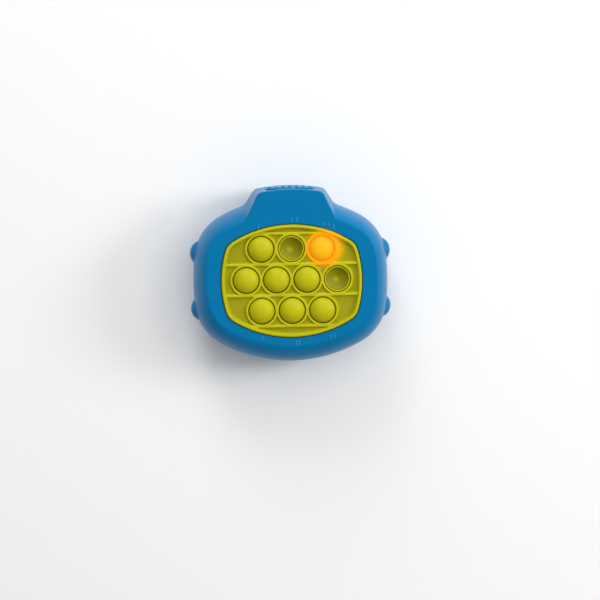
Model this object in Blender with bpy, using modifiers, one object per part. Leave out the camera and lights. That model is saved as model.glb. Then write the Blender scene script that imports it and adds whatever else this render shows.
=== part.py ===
# Hand-held electronic bubble pop game, lying on its flat back.
# Metres. +Z points out of the face, +Y towards the crown, +X to the player's right.
# Ten silicone bubbles in rows of 3, 4 and 3 pop in towards a lit circuit board.
# Places are measured from the pad's centre; game_centre carries every piece there.

import math

import bmesh
import bpy

# Fits
fit_gap = 0.0003
cut_overrun = 0.0015
merge_distance = 0.00001

# Bubbles
bubble_radius = 0.0055
bubble_groove = 0.00035
bubble_wall = 0.0009
bubble_rise = 0.0030
bubble_skirt = 0.0016
bubble_web = 0.0014
row_pitch = 0.0134
row_counts = (3, 4, 3)
pushed_bubbles = (2, 7)
hole_radius = bubble_radius + bubble_groove
bubble_pitch = 2 * hole_radius + bubble_web
bubble_travel = 2 * bubble_rise
bubble_steps = 20

# Post and pill under each bubble
post_radius = 0.0010
pill_radius = 0.0014
pill_thickness = 0.0008

# Silicone pad
rim_width = 0.0016
rim_rise = 0.0006
rim_foot = 0.00025
collar_width = 0.00115
collar_drop = 0.0007
collar_radius = hole_radius + collar_width
rib_half_width = 0.0008
floor_drop = 0.0016
lip_drop = 0.0007
flange_width = 0.0020
flange_thickness = 0.0012

# Window in the face: a shape of six named sizes that the pad fills
side_margin = 0.00235
end_margin = 0.0027
window_y = -0.0005
window = {
    "half_width": (max(row_counts) - 1) / 2 * bubble_pitch + collar_radius + rim_width + side_margin,
    "half_height": (len(row_counts) - 1) / 2 * row_pitch + collar_radius + rim_width + end_margin,
    "end_radius": 0.0484,
    "side_radius": 0.0473,
    "corner_radius": 0.0077,
}

# Body outline at the parting line, which runs round the window
side_border = 0.0116
end_border = 0.0109
end_radius_extra = 0.0136
side_radius_extra = 0.0473
corner_radius_extra = 0.0138
body = {
    "half_width": window["half_width"] + side_border,
    "half_height": window["half_height"] + end_border,
    "end_radius": window["end_radius"] + end_radius_extra,
    "side_radius": window["side_radius"] + side_radius_extra,
    "corner_radius": window["corner_radius"] + corner_radius_extra,
}
body_y = -0.0018
face_y = -0.0003
outline_steps = {"side": 3, "corner": 6, "end": 4}

# Shells
wall = 0.0020
face_plate = 0.0020
front_depth = 0.0179
face_inset = 0.0053
back_inset = 0.0065
front_turn = math.radians(70)
back_turn = math.radians(75)
front_steps = 4
back_steps = 4

# Battery cells, contacts and their box
cell_radius = 0.00525
cell_length = 0.0445
cell_nub_radius = 0.0019
cell_nub_length = 0.0008
cell_edge = 0.0004
contact_thickness = 0.0004
contact_half_width = 0.0030
contact_rise = 0.0030
contact_tag_width = 0.0016
contact_tag_rise = 0.0014
dimple_radius = 0.0018
dimple_length = 0.0010
spring_length = 0.0035
spring_turns = 3
spring_wire = 0.00025
spring_base_radius = 0.0030
spring_tip_radius = 0.0019
spring_points_a_turn = 10
box_wall = 0.0009
door_thickness = 0.0016
door_sink = 0.0002
door_ledge = 0.0009
door_corner = 0.0020
door_tongue_radius = 0.0032
door_tongue_reach = 0.0022
tab_half_width = 0.0015
tab_thickness = 0.0010
tab_reach = 0.0021
tab_web = 0.0015
box_drop = 0.0082
cell_offset = cell_radius + fit_gap
box_half_length = cell_length / 2 + (spring_length + dimple_length) / 2 + contact_thickness + 2 * fit_gap
box_half_width = cell_offset + cell_radius + fit_gap
recess_half_length = box_half_length + door_ledge
recess_half_width = box_half_width + door_ledge
recess_height = door_sink + door_thickness + fit_gap
cell_height = door_sink + door_thickness + fit_gap + cell_radius
box_ceiling = cell_height + cell_radius + fit_gap
box_top = box_ceiling + box_wall
box_y = body_y - box_drop

# Levels, from the back at zero up to the bubbles
parting_height = box_top + fit_gap
face_height = parting_height + front_depth
rim_top = face_height + rim_rise
collar_top = rim_top - collar_drop
floor_top = rim_top - floor_drop
flange_top = face_height - face_plate - fit_gap
flange_bottom = flange_top - flange_thickness
bubble_base = collar_top - lip_drop
skirt_bottom = bubble_base - bubble_skirt
board_thickness = 0.0016
board_top = skirt_bottom - bubble_travel - 2 * fit_gap
board_bottom = board_top - board_thickness
pill_low = board_top + fit_gap
front_low = parting_height + fit_gap / 2
rear_high = parting_height - fit_gap / 2

# Crown at the top end of the face
crown_reach = 0.0144
crown_top_half = 0.0138
crown_top_radius = 0.080
crown_lean = math.radians(25.7)
crown_base_lean = math.radians(32)
crown_flare = 0.0010
crown_corner = 0.0018
crown_corner_steps = 4
crown_root = 0.0047
crown_back = 0.0012
crown_top = window["half_height"] + crown_reach
crown_root_y = window["half_height"] - crown_root

# Side lobes, two a side
lobe_y = 0.0121
lobe_half_height = 0.0052
lobe_half_depth = 0.0050
lobe_half_width = 0.0045
lobe_proud = 0.0021

# Power button, switch and plunger
button_half_length = 0.0103
button_half_height = 0.0040
button_setback = 0.0080
button_proud = 0.0006
button_rib_proud = 0.0004
button_rib_width = 0.0013
button_rib_count = 7
button_rib_margin = 0.0009
button_flange = 0.0009
button_flange_thickness = 0.0010
button_stem = 0.0015
button_stem_radius = 0.0012
button_travel = 0.0008
plunger_radius = 0.0009
plunger_reach = 0.0015
plunger_engaged = 0.0012
switch_half_width = 0.0030
switch_height = 0.0030
switch_depth = 0.0035
button_height = face_height - button_setback

# Screws
case_post_radius = 0.0024
case_post_drop = 0.0040
case_post_margin = 0.00045
case_post_angles = (math.radians(47), math.radians(-40))
case_screw_radius = 0.0011
case_screw_reach = 0.0070
case_head_radius = 0.0020
case_head_height = 0.0014
case_head_low = 0.0036
case_boss_wall = 0.0010
board_boss_radius = 0.0022
board_screw_radius = 0.0007
board_screw_reach = 0.0045
board_head_radius = 0.0015
board_head_height = 0.0010
door_screw_radius = 0.0011
door_screw_gap = 0.0004
door_screw_length = 0.0040
door_head_radius = 0.0018
door_head_height = 0.0007
door_boss_radius = 0.0026
door_boss_height = 0.0080
case_post_top = face_height - case_post_drop
case_screw_top = parting_height + case_screw_reach

# Board, frame and what sits on the board
frame_margin = 0.0010
well_radius = bubble_radius + 2 * fit_gap
well_steps = 16
board_margin = 0.0015
board_ear_half_height = 0.0050
board_tab_half_width = 0.0090
led_half_length = 0.0014
led_half_width = 0.0010
led_height = 0.0009
led_offset = 0.0029
chip_radius = 0.0045
chip_height = 0.0013
chip_x = 0.0120
chip_y = -0.0060

# Speaker
speaker_radius = 0.0098
speaker_magnet_radius = 0.0055
speaker_depth = 0.0036
speaker_flange = 0.0014
speaker_ring_wall = 0.0010
speaker_ring_height = 0.0040
speaker_hole_radius = 0.0008
speaker_hole_ring = 0.0040
speaker_ring_radius = speaker_radius + fit_gap + speaker_ring_wall
speaker_y = box_y + recess_half_width + box_wall + speaker_ring_radius

# Leads
lead_radius = 0.0005
lead_bend = 0.0050
lead_points = 12
speaker_lead_spread = 0.0025

# The bounding box's centre is the origin, so the pad's centre lies a little below it
top_reach = crown_top + button_proud + button_rib_proud
bottom_reach = body_y - body["half_height"]
pad_y = -(top_reach + bottom_reach) / 2

blue = (0.0, 0.20, 0.40)
lime = (0.50, 0.48, 0.002)
lit_orange = (1.0, 0.36, 0.005)
white = (0.80, 0.80, 0.78)
board_green = (0.02, 0.16, 0.06)
black = (0.02, 0.02, 0.02)
steel = (0.60, 0.60, 0.60)
red = (0.50, 0.02, 0.02)
led_cream = (0.85, 0.80, 0.45)
cell_silver = (0.55, 0.57, 0.60)


def clear_scene():
    for old in list(bpy.data.objects):
        bpy.data.objects.remove(old, do_unlink=True)
    for old in list(bpy.data.collections):
        bpy.data.collections.remove(old)


clear_scene()
parts = bpy.data.collections.new("bubble_pop_game")
cutters = bpy.data.collections.new("cutters")
bpy.context.scene.collection.children.link(parts)
bpy.context.scene.collection.children.link(cutters)
game_centre = bpy.data.objects.new("game_centre", None)
game_centre.location = (0, pad_y, 0)
parts.objects.link(game_centre)


def finish(name, colour, roughness, metallic=0.0):
    material = bpy.data.materials.new(name)
    material.use_nodes = True
    shader = material.node_tree.nodes["Principled BSDF"]
    shader.inputs["Base Color"].default_value = (*colour, 1)
    shader.inputs["Roughness"].default_value = roughness
    shader.inputs["Metallic"].default_value = metallic
    return material


def add_piece(name, mesh, material=None, parent=game_centre):
    # With a material it is a piece of the game; without one it is a cutter
    piece = bpy.data.objects.new(name, mesh)
    piece.parent = parent
    if material is None:
        cutters.objects.link(piece)
        piece.hide_render = True
        piece.display_type = "WIRE"
    else:
        parts.objects.link(piece)
        mesh.materials.append(material)
    return piece


def mesh_from(name, shape):
    mesh = bpy.data.meshes.new(name)
    bmesh.ops.recalc_face_normals(shape, faces=shape.faces)
    shape.to_mesh(mesh)
    shape.free()
    return mesh


def box(name, low, high, material=None):
    shape = bmesh.new()
    bmesh.ops.create_cube(shape, size=1)
    for vert in shape.verts:
        for axis in range(3):
            vert.co[axis] = low[axis] if vert.co[axis] < 0 else high[axis]
    return add_piece(name, mesh_from(name, shape), material)


def rod(name, centre, radius, low, high, sides=14, along="z", material=None):
    # A cylinder between two levels along one axis; centre gives the other two coordinates
    shape = bmesh.new()
    bmesh.ops.create_cone(shape, cap_ends=True, segments=sides, radius1=radius, radius2=radius, depth=1)
    for vert in shape.verts:
        level = low if vert.co.z < 0 else high
        across = (centre[0] + vert.co.x, centre[1] + vert.co.y)
        vert.co = {
            "x": (level, across[0], across[1]),
            "y": (across[0], level, across[1]),
            "z": (across[0], across[1], level),
        }[along]
    return add_piece(name, mesh_from(name, shape), material)


def turned(name, profile, material, steps=16, centre=(0, 0, 0), parent=game_centre):
    # The profile runs from the axis at the top, down the outer side, back to the axis
    mesh = bpy.data.meshes.new(name)
    edges = [(index, index + 1) for index in range(len(profile) - 1)]
    mesh.from_pydata([(radius, 0, height) for radius, height in profile], edges, [])
    piece = add_piece(name, mesh, material, parent)
    piece.location = centre
    screw = piece.modifiers.new("turn", "SCREW")
    screw.steps = steps
    screw.render_steps = steps
    screw.use_merge_vertices = True
    screw.merge_threshold = merge_distance
    return piece


def plate(name, outlines, low, high, material=None):
    # Flat outlines, the first one outside and the rest holes, given a thickness
    curve = bpy.data.curves.new(name, "CURVE")
    curve.dimensions = "2D"
    curve.fill_mode = "BOTH"
    curve.extrude = (high - low) / 2
    for outline in outlines:
        spline = curve.splines.new("POLY")
        spline.points.add(len(outline) - 1)
        for point, (x, y) in zip(spline.points, outline):
            point.co = (x, y, 0, 1)
        spline.use_cyclic_u = True
    flat = bpy.data.objects.new(name, curve)
    cutters.objects.link(flat)
    bpy.context.view_layer.update()
    mesh = bpy.data.meshes.new_from_object(flat.evaluated_get(bpy.context.evaluated_depsgraph_get()))
    bpy.data.objects.remove(flat)
    bpy.data.curves.remove(curve)
    mesh.name = name
    mesh.materials.clear()
    shape = bmesh.new()
    shape.from_mesh(mesh)
    bmesh.ops.remove_doubles(shape, verts=shape.verts, dist=merge_distance)
    for vert in shape.verts:
        vert.co.z = low if vert.co.z < 0 else high
    shape.to_mesh(mesh)
    shape.free()
    return add_piece(name, mesh, material)


def loft(name, rings, material=None):
    # Rings of as many points each, joined one to the next and closed at both ends
    shape = bmesh.new()
    rows = [[shape.verts.new(point) for point in ring] for ring in rings]
    for lower, upper in zip(rows, rows[1:]):
        for index in range(len(lower)):
            after = (index + 1) % len(lower)
            shape.faces.new((lower[index], lower[after], upper[after], upper[index]))
    shape.faces.new(reversed(rows[0]))
    shape.faces.new(rows[-1])
    return add_piece(name, mesh_from(name, shape), material)


def change(piece, other, operation):
    boolean = piece.modifiers.new(f"{operation.lower()} {other.name}", "BOOLEAN")
    boolean.operation = operation
    boolean.object = other


def cut(piece, *tools):
    for tool in tools:
        change(piece, tool, "DIFFERENCE")


def join(piece, *tools):
    for tool in tools:
        change(piece, tool, "UNION")


def keep_inside(piece, tool):
    change(piece, tool, "INTERSECT")


def arc(centre, radius, start, end, steps):
    # Points from one angle to another, without the last
    turns = [start + (end - start) * step / steps for step in range(steps)]
    return [(centre[0] + radius * math.cos(turn), centre[1] + radius * math.sin(turn)) for turn in turns]


def corner_centre(shape):
    # The corner arc touches the end arc and the side arc from inside
    end_centre = shape["half_height"] - shape["end_radius"]
    side_centre = shape["half_width"] - shape["side_radius"]
    to_end = shape["end_radius"] - shape["corner_radius"]
    to_side = shape["side_radius"] - shape["corner_radius"]
    apart = math.hypot(side_centre, end_centre)
    along = (to_end**2 - to_side**2 + apart**2) / (2 * apart)
    across = math.sqrt(to_end**2 - along**2)
    unit = (side_centre / apart, -end_centre / apart)
    return (
        along * unit[0] + across * unit[1],
        end_centre + along * unit[1] - across * unit[0],
    )


def rounded_outline(shape, grow=0.0, shift=0.0):
    # Bowed ends and sides with a round corner between them, all on arcs
    corner = corner_centre(shape)
    end_centre = (0, shape["half_height"] - shape["end_radius"])
    side_centre = (shape["half_width"] - shape["side_radius"], 0)
    side_angle = math.atan2(corner[1], corner[0] - side_centre[0])
    end_angle = math.atan2(corner[1] - end_centre[1], corner[0])
    quarter = (
        arc(side_centre, shape["side_radius"] + grow, 0, side_angle, outline_steps["side"])
        + arc(corner, shape["corner_radius"] + grow, side_angle, end_angle, outline_steps["corner"])
        + arc(end_centre, shape["end_radius"] + grow, end_angle, math.pi / 2, outline_steps["end"])
        + [(0, shape["half_height"] + grow)]
    )
    half = quarter + [(-x, y) for x, y in reversed(quarter[:-1])]
    whole = half + [(x, -y) for x, y in reversed(half[1:-1])]
    return [(x, y + shift) for x, y in whole]


def at_level(outline, level):
    return [(x, y, level) for x, y in outline]


def circle_points(centre, radius, steps):
    return arc(centre, radius, 0, 2 * math.pi, steps)


def slot_points(half_length, half_height, steps=6):
    # A bar with fully round ends
    reach = half_length - half_height
    right = arc((reach, 0), half_height, -math.pi / 2, math.pi / 2, steps) + [(reach, half_height)]
    return right + [(-x, -y) for x, y in right]


def front_inset(turn):
    return face_inset * (1 - math.cos(turn)) / (1 - math.cos(front_turn))


def back_inset_at(turn):
    return back_inset * (1 - math.cos(turn)) / (1 - math.cos(back_turn))


def front_inset_at_level(level):
    return front_inset(math.asin((level - parting_height) / front_depth * math.sin(front_turn)))


def front_rings(thickness, top):
    # From below the parting line up to the face; thickness is taken off all round
    rings = [at_level(rounded_outline(body, -thickness, body_y), parting_height - cut_overrun)]
    for step in range(front_steps + 1):
        turn = front_turn * step / front_steps
        inset = front_inset(turn)
        level = parting_height + (top - parting_height) * math.sin(turn) / math.sin(front_turn)
        shift = body_y + (face_y - body_y) * inset / face_inset
        rings.append(at_level(rounded_outline(body, -inset - thickness, shift), level))
    return rings


def back_rings(thickness, low):
    # From the back face up to above the parting line
    rings = [at_level(rounded_outline(body, -thickness, body_y), parting_height + cut_overrun)]
    for step in range(back_steps + 1):
        turn = back_turn * step / back_steps
        level = parting_height - (parting_height - low) * math.sin(turn) / math.sin(back_turn)
        rings.append(at_level(rounded_outline(body, -back_inset_at(turn) - thickness, body_y), level))
    return list(reversed(rings))


def crown_outline(side_grow, top_grow, lean=crown_base_lean):
    # Leaning sides under a bowed top, with rounded top corners
    radius = crown_top_radius + top_grow
    arc_centre_y = crown_top - crown_top_radius
    corner_y = arc_centre_y + math.sqrt(crown_top_radius**2 - crown_top_half**2)
    side_shift = side_grow / math.cos(lean)

    def side_x(y):
        return crown_top_half + (corner_y - y) * math.tan(lean) + side_shift

    # The sharp corner, found by stepping between the side and the arc
    y = corner_y + top_grow
    for _ in range(8):
        y = arc_centre_y + math.sqrt(radius**2 - side_x(y) ** 2)
    sharp = (side_x(y), y)
    before = (sharp[0] + crown_corner * math.sin(lean), sharp[1] - crown_corner * math.cos(lean))
    after_x = sharp[0] - crown_corner
    after = (after_x, arc_centre_y + math.sqrt(radius**2 - after_x**2))
    corner = []
    for step in range(crown_corner_steps + 1):
        share = step / crown_corner_steps
        weights = ((1 - share) ** 2, 2 * share * (1 - share), share**2)
        corner.append(tuple(
            weights[0] * before[axis] + weights[1] * sharp[axis] + weights[2] * after[axis]
            for axis in range(2)
        ))
    end_angle = math.atan2(after[1] - arc_centre_y, after[0])
    top = arc((0, arc_centre_y), radius, end_angle, math.pi / 2, 3)[1:] + [(0, arc_centre_y + radius)]
    right = [(side_x(crown_root_y), crown_root_y)] + corner + top
    return right + [(-x, y) for x, y in reversed(right[:-1])]


def crown_front(thickness, top):
    rings = []
    levels = ((parting_height - cut_overrun, crown_flare, crown_base_lean), (top, 0.0, crown_lean))
    for level, flare, lean in levels:
        rings.append(at_level(crown_outline(flare - thickness, -thickness, lean), level))
    return rings


def crown_rear(thickness, low):
    # Follows the back shell's curve and stops one step short of its flat
    rings = [at_level(crown_outline(crown_flare - thickness, -thickness), parting_height + cut_overrun)]
    for step in range(back_steps):
        turn = back_turn * step / back_steps
        level = parting_height - (parting_height - low) * math.sin(turn) / math.sin(back_turn)
        inset = back_inset_at(turn)
        rings.append(at_level(crown_outline(crown_flare - thickness - inset, -thickness - inset), level))
    return list(reversed(rings))


def case_post_places():
    corner = corner_centre(body)
    inset = front_inset_at_level(case_post_top)
    reach = body["corner_radius"] - inset - case_post_margin - case_post_radius
    places = []
    for angle in case_post_angles:
        x = corner[0] + reach * math.cos(angle)
        y = math.copysign(corner[1], angle) + body_y + reach * math.sin(angle)
        places += [(x, y), (-x, y)]
    return places


board_screw_x = window["half_width"] + flange_width + fit_gap + board_boss_radius
board_screw_places = [(board_screw_x, 0), (-board_screw_x, 0)]
door_screw_x = recess_half_length - fit_gap + door_tongue_reach


def bubble_places():
    places = []
    for row, count in enumerate(row_counts):
        y = ((len(row_counts) - 1) / 2 - row) * row_pitch
        places += [((column - (count - 1) / 2) * bubble_pitch, y) for column in range(count)]
    return places


def lobes(name):
    found = []
    widest = body["side_radius"] - math.sqrt(body["side_radius"] ** 2 - lobe_y**2)
    x = body["half_width"] - widest + lobe_proud - lobe_half_width
    for number, (side, end) in enumerate(((1, 1), (1, -1), (-1, 1), (-1, -1)), 1):
        shape = bmesh.new()
        bmesh.ops.create_uvsphere(shape, u_segments=12, v_segments=8, radius=1)
        for vert in shape.verts:
            vert.co.x = side * x + vert.co.x * lobe_half_width
            vert.co.y = body_y + end * lobe_y + vert.co.y * lobe_half_height
            vert.co.z = parting_height + vert.co.z * lobe_half_depth
        found.append(add_piece(f"{name}_{number}", mesh_from(name, shape)))
    return found


half_span = body["half_width"] + 2 * lobe_half_width


def slab(name, low, high):
    reach = crown_top + half_span
    return box(name, (-half_span, -reach, low), (half_span, reach, high))


def make_front_shell():
    shell = loft("front_shell", front_rings(0, face_height), finish("shell blue", blue, 0.35))
    join(shell, loft("crown_front_solid", crown_front(0, face_height)), *lobes("front_lobe"))
    cavity_top = face_height - face_plate
    cavity = loft("front_cavity", front_rings(wall, cavity_top))
    for number, place in enumerate(case_post_places(), 1):
        cut(cavity, rod(f"case_post_{number}", place, case_post_radius, 0, case_post_top))
    for number, place in enumerate(board_screw_places, 1):
        low = board_top + fit_gap
        cut(cavity, rod(f"board_boss_{number}", place, board_boss_radius, low, face_height))
    cut(shell, slab("below_parting", -cut_overrun, front_low), cavity)
    cut(shell, loft("crown_cavity", crown_front(wall, cavity_top)))
    window_low = cavity_top - cut_overrun
    opening = rounded_outline(window, 0, window_y)
    cut(shell, plate("window_cut", [opening], window_low, face_height + cut_overrun))
    hole = case_screw_radius + fit_gap
    for number, place in enumerate(case_post_places(), 1):
        cut(shell, rod(f"case_pilot_{number}", place, hole, 0, case_screw_top + fit_gap, 12))
    hole = board_screw_radius + fit_gap
    for number, place in enumerate(board_screw_places, 1):
        top = board_top + board_screw_reach + fit_gap
        cut(shell, rod(f"board_pilot_{number}", place, hole, 0, top, 10))
    cut(shell, make_button_slot())
    return shell


def stand_up(mesh):
    # Turns a plate drawn in X and Y so that it lies across Y: its Y becomes Z, its Z becomes Y
    for vert in mesh.vertices:
        vert.co = (-vert.co.x, vert.co.z, vert.co.y)


def upright_plate(name, outline, low, high, level, material=None):
    piece = plate(name, [outline], low, high, material)
    stand_up(piece.data)
    for vert in piece.data.vertices:
        vert.co.z += level
    return piece


def make_button_slot():
    outline = slot_points(button_half_length + fit_gap, button_half_height + fit_gap)
    low = crown_top - 3 * wall
    return upright_plate("button_slot", outline, low, crown_top + cut_overrun, button_height)


def crown_sagitta(radius, x):
    return radius - math.sqrt(radius**2 - x**2)


flange_reach = button_half_length + button_flange
button_flange_y = crown_top - wall - crown_sagitta(crown_top_radius - wall, flange_reach) - fit_gap
button_flange_low = button_flange_y - button_flange_thickness
stem_low = button_flange_low - button_stem
plunger_top = stem_low - fit_gap
switch_top = plunger_top - plunger_reach
plunger_low = switch_top - plunger_engaged


def bowed_block(name, proud, half_width, low_y):
    # A block under the crown's top arc, raised by a height above it
    radius = crown_top_radius + proud
    centre_y = crown_top - crown_top_radius
    lean = math.asin(half_width / radius)
    outline = arc((0, centre_y), radius, math.pi / 2 - lean, math.pi / 2 + lean, 6)
    outline.append((-half_width, centre_y + radius * math.cos(lean)))
    outline += [(-half_width, low_y), (half_width, low_y)]
    deep = button_half_height + button_flange
    return plate(name, [outline], button_height - deep, button_height + deep)


def make_power_button():
    cap = slot_points(button_half_length, button_half_height)
    low = button_flange_y - button_flange_thickness / 2
    high = crown_top + button_proud + cut_overrun
    button = upright_plate("power_button", cap, low, high, button_height, finish("button blue", blue, 0.4))
    keep_inside(button, bowed_block("button_bow", button_proud, flange_reach, button_flange_low))
    ribs = bowed_block("rib_bow", button_proud + button_rib_proud, flange_reach, button_flange_y)
    inner = slot_points(button_half_length - button_rib_margin, button_half_height - button_rib_margin)
    keep_inside(ribs, upright_plate("rib_edge", inner, button_flange_low, high, button_height))
    span = 2 * (button_half_length - button_half_height / 2)
    rib_pitch = span / (button_rib_count - 1)
    for number in range(button_rib_count - 1):
        middle = (number + 1 - button_rib_count / 2) * rib_pitch
        half_gap = (rib_pitch - button_rib_width) / 2
        low_corner = (middle - half_gap, 0, 0)
        high_corner = (middle + half_gap, crown_top + button_flange_y, face_height)
        cut(ribs, box(f"rib_space_{number + 1}", low_corner, high_corner))
    join(button, ribs)
    flange = slot_points(flange_reach, button_half_height + button_flange)
    join(button, upright_plate("button_flange", flange, button_flange_low, button_flange_y, button_height))
    stem_top = button_flange_y - button_flange_thickness / 2
    centre = (0, switch_level())
    join(button, rod("button_stem", centre, button_stem_radius, stem_low, stem_top, 12, along="y"))
    return button


def switch_level():
    return board_top + fit_gap + switch_height / 2


def make_power_switch():
    low = (-switch_half_width, switch_top - switch_depth, board_top + fit_gap)
    high = (switch_half_width, switch_top, board_top + fit_gap + switch_height)
    switch = box("power_switch", low, high, finish("switch black", black, 0.5))
    bore_low = plunger_low - button_travel - fit_gap
    centre = (0, switch_level())
    cut(switch, rod("switch_bore", centre, plunger_radius + fit_gap, bore_low, crown_top, 12, along="y"))
    plunger = finish("plunger white", white, 0.4)
    rod("switch_plunger", centre, plunger_radius, plunger_low, plunger_top, 12, along="y", material=plunger)


def case_boss_radius():
    return case_head_radius + fit_gap + case_boss_wall


def make_rear_shell():
    shell = loft("rear_shell", back_rings(0, 0), finish("rear shell blue", blue, 0.35))
    join(shell, loft("crown_rear_solid", crown_rear(0, crown_back)), *lobes("rear_lobe"))
    cavity = loft("rear_cavity", back_rings(wall, wall))
    for number, place in enumerate(case_post_places(), 1):
        cut(cavity, rod(f"case_boss_{number}", place, case_boss_radius(), -cut_overrun, face_height))
    outer = (recess_half_length + box_wall, recess_half_width + box_wall)
    cut(cavity, box("box_block", (-outer[0], box_y - outer[1], -cut_overrun), (outer[0], box_y + outer[1], box_top)))
    cut(cavity, rod("door_boss", (door_screw_x, box_y), door_boss_radius, -cut_overrun, door_boss_height))
    ring = rod("speaker_ring", (0, speaker_y), speaker_ring_radius, -cut_overrun, wall + speaker_ring_height, 20)
    cut(ring, rod("speaker_seat", (0, speaker_y), speaker_radius + fit_gap, wall, face_height, 20))
    cut(cavity, ring)
    cut(shell, slab("above_parting", rear_high, face_height + cut_overrun), cavity)
    crown_hollow = loft("crown_rear_cavity", crown_rear(wall, crown_back + wall))
    cut(crown_hollow, ring)
    cut(shell, crown_hollow)
    cut(shell, box("cell_space", (-box_half_length, box_y - box_half_width, -cut_overrun),
                   (box_half_length, box_y + box_half_width, box_ceiling)))
    recess = door_outline(fit_gap)
    cut(shell, plate("door_recess", [recess], -cut_overrun, recess_height))
    cut(shell, rod("tongue_recess", (door_screw_x, box_y), door_tongue_radius + fit_gap, -cut_overrun,
                   recess_height, 20))
    hole = door_screw_radius + door_screw_gap
    hole_top = door_sink + door_head_height + fit_gap + door_screw_length + 2 * fit_gap
    cut(shell, rod("door_pilot", (door_screw_x, box_y), hole, -cut_overrun, hole_top, 12))
    for number, side in enumerate((1, -1), 1):
        y = box_y + side * cell_offset
        half = tab_half_width + fit_gap
        low = (-recess_half_length - tab_reach - 2 * fit_gap, y - half, wall)
        high = (-box_half_length + door_ledge / 2, y + half, contact_low - fit_gap)
        cut(shell, box(f"tab_slot_{number}", low, high))
        tag = contact_tag_width / 2 + fit_gap
        low = (-box_half_length, y - tag, box_ceiling - cut_overrun)
        high = (-box_half_length + contact_thickness + 2 * fit_gap, y + tag, face_height)
        cut(shell, box(f"tag_slot_{number}", low, high))
    counter_top = case_head_low + case_head_height + fit_gap
    for number, place in enumerate(case_post_places(), 1):
        head = case_head_radius + fit_gap
        cut(shell, rod(f"head_well_{number}", place, head, -cut_overrun, counter_top))
        hole = case_screw_radius + fit_gap
        cut(shell, rod(f"shank_hole_{number}", place, hole, 0, face_height, 12))
    sound_holes = [(0, speaker_y)] + circle_points((0, speaker_y), speaker_hole_ring, 6)
    for number, place in enumerate(sound_holes, 1):
        cut(shell, rod(f"sound_hole_{number}", place, speaker_hole_radius, -cut_overrun, wall + cut_overrun, 6))
    return shell


contact_low = door_sink + door_thickness + fit_gap + contact_rise
contact_high = box_ceiling - 2 * fit_gap - cell_edge


def make_bubble_pad():
    fitted = -fit_gap
    pad = plate("bubble_pad", [rounded_outline(window, fitted, window_y)], flange_bottom + fit_gap, rim_top,
                finish("pad lime", lime, 0.5))
    flange = rounded_outline(window, flange_width, window_y)
    join(pad, plate("pad_flange", [flange], flange_bottom, flange_top))
    over = rim_top + cut_overrun
    cut(pad, plate("collar_level", [rounded_outline(window, fitted - rim_width, window_y)], collar_top, over))
    foot = rounded_outline(window, fitted - rim_width - rim_foot, window_y)
    pockets = plate("floor_level", [foot], floor_top, over)
    rows = len(row_counts)
    for number in range(rows + 1):
        y = (rows / 2 - number) * row_pitch
        low = (-half_span, y - rib_half_width, 0)
        cut(pockets, box(f"cross_rib_{number + 1}", low, (half_span, y + rib_half_width, face_height * 2)))
    for number, place in enumerate(bubble_places(), 1):
        cut(pockets, rod(f"collar_{number}", place, collar_radius, 0, face_height * 2, bubble_steps))
    cut(pad, pockets)
    for number, place in enumerate(bubble_places(), 1):
        cut(pad, rod(f"bubble_hole_{number}", place, hole_radius, 0, face_height * 2, bubble_steps))
    return pad


def cap_arc(radius, rise, start_radius, end_radius, steps=4):
    # Heights on a shallow dome of this base radius and rise, from one radius to another
    sphere = (radius**2 + rise**2) / (2 * rise)
    found = []
    for step in range(steps + 1):
        across = start_radius + (end_radius - start_radius) * step / steps
        found.append((across, math.sqrt(sphere**2 - across**2) - (sphere - rise)))
    return found


def raised_profile():
    # Heights from the bubble's base
    inner_radius = bubble_radius - bubble_wall
    inner = cap_arc(inner_radius, bubble_rise - bubble_wall, inner_radius, post_radius, 3)
    post_low = pill_low + bubble_travel + pill_thickness + fit_gap - bubble_base
    outer = cap_arc(bubble_radius, bubble_rise, 0, bubble_radius)
    return outer + [(bubble_radius, -bubble_skirt), (inner_radius, -bubble_skirt)] + inner + [
        (post_radius, post_low), (0, post_low)]


def pushed_profile():
    # The dome turned inside out: a bowl below its lip, with the post lower by the travel
    inner_radius = bubble_radius - bubble_wall
    bowl = [(across, -height) for across, height in cap_arc(inner_radius, bubble_rise, 0, inner_radius)]
    rise = bubble_rise + bubble_wall - bubble_skirt
    under = [(across, -bubble_skirt - height)
             for across, height in cap_arc(inner_radius, rise, inner_radius, post_radius, 3)]
    post_low = pill_low + pill_thickness + fit_gap - bubble_base
    return bowl + [(bubble_radius, 0), (bubble_radius, -bubble_skirt)] + under + [
        (post_radius, post_low), (0, post_low)]


def make_bubbles():
    raised = finish("bubble lime", lime, 0.45)
    lit = finish("bubble lit", lit_orange, 0.45)
    pill = finish("carbon black", black, 0.8)
    led = finish("led cream", led_cream, 0.3)
    for number, place in enumerate(bubble_places(), 1):
        pushed = number in pushed_bubbles
        centre = (*place, bubble_base)
        material = lit if number == row_counts[0] else raised
        profile = pushed_profile() if pushed else raised_profile()
        turned(f"bubble_{number:02d}", profile, material, bubble_steps, centre)
        low = pill_low - bubble_base + (0 if pushed else bubble_travel)
        disc = [(0, low + pill_thickness), (pill_radius, low + pill_thickness), (pill_radius, low), (0, low)]
        turned(f"pill_{number:02d}", disc, pill, 10, centre)
        y = place[1] - led_offset
        low_corner = (place[0] - led_half_length, y - led_half_width, board_top + fit_gap)
        high_corner = (place[0] + led_half_length, y + led_half_width, board_top + fit_gap + led_height)
        box(f"led_{number:02d}", low_corner, high_corner, led)


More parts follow.
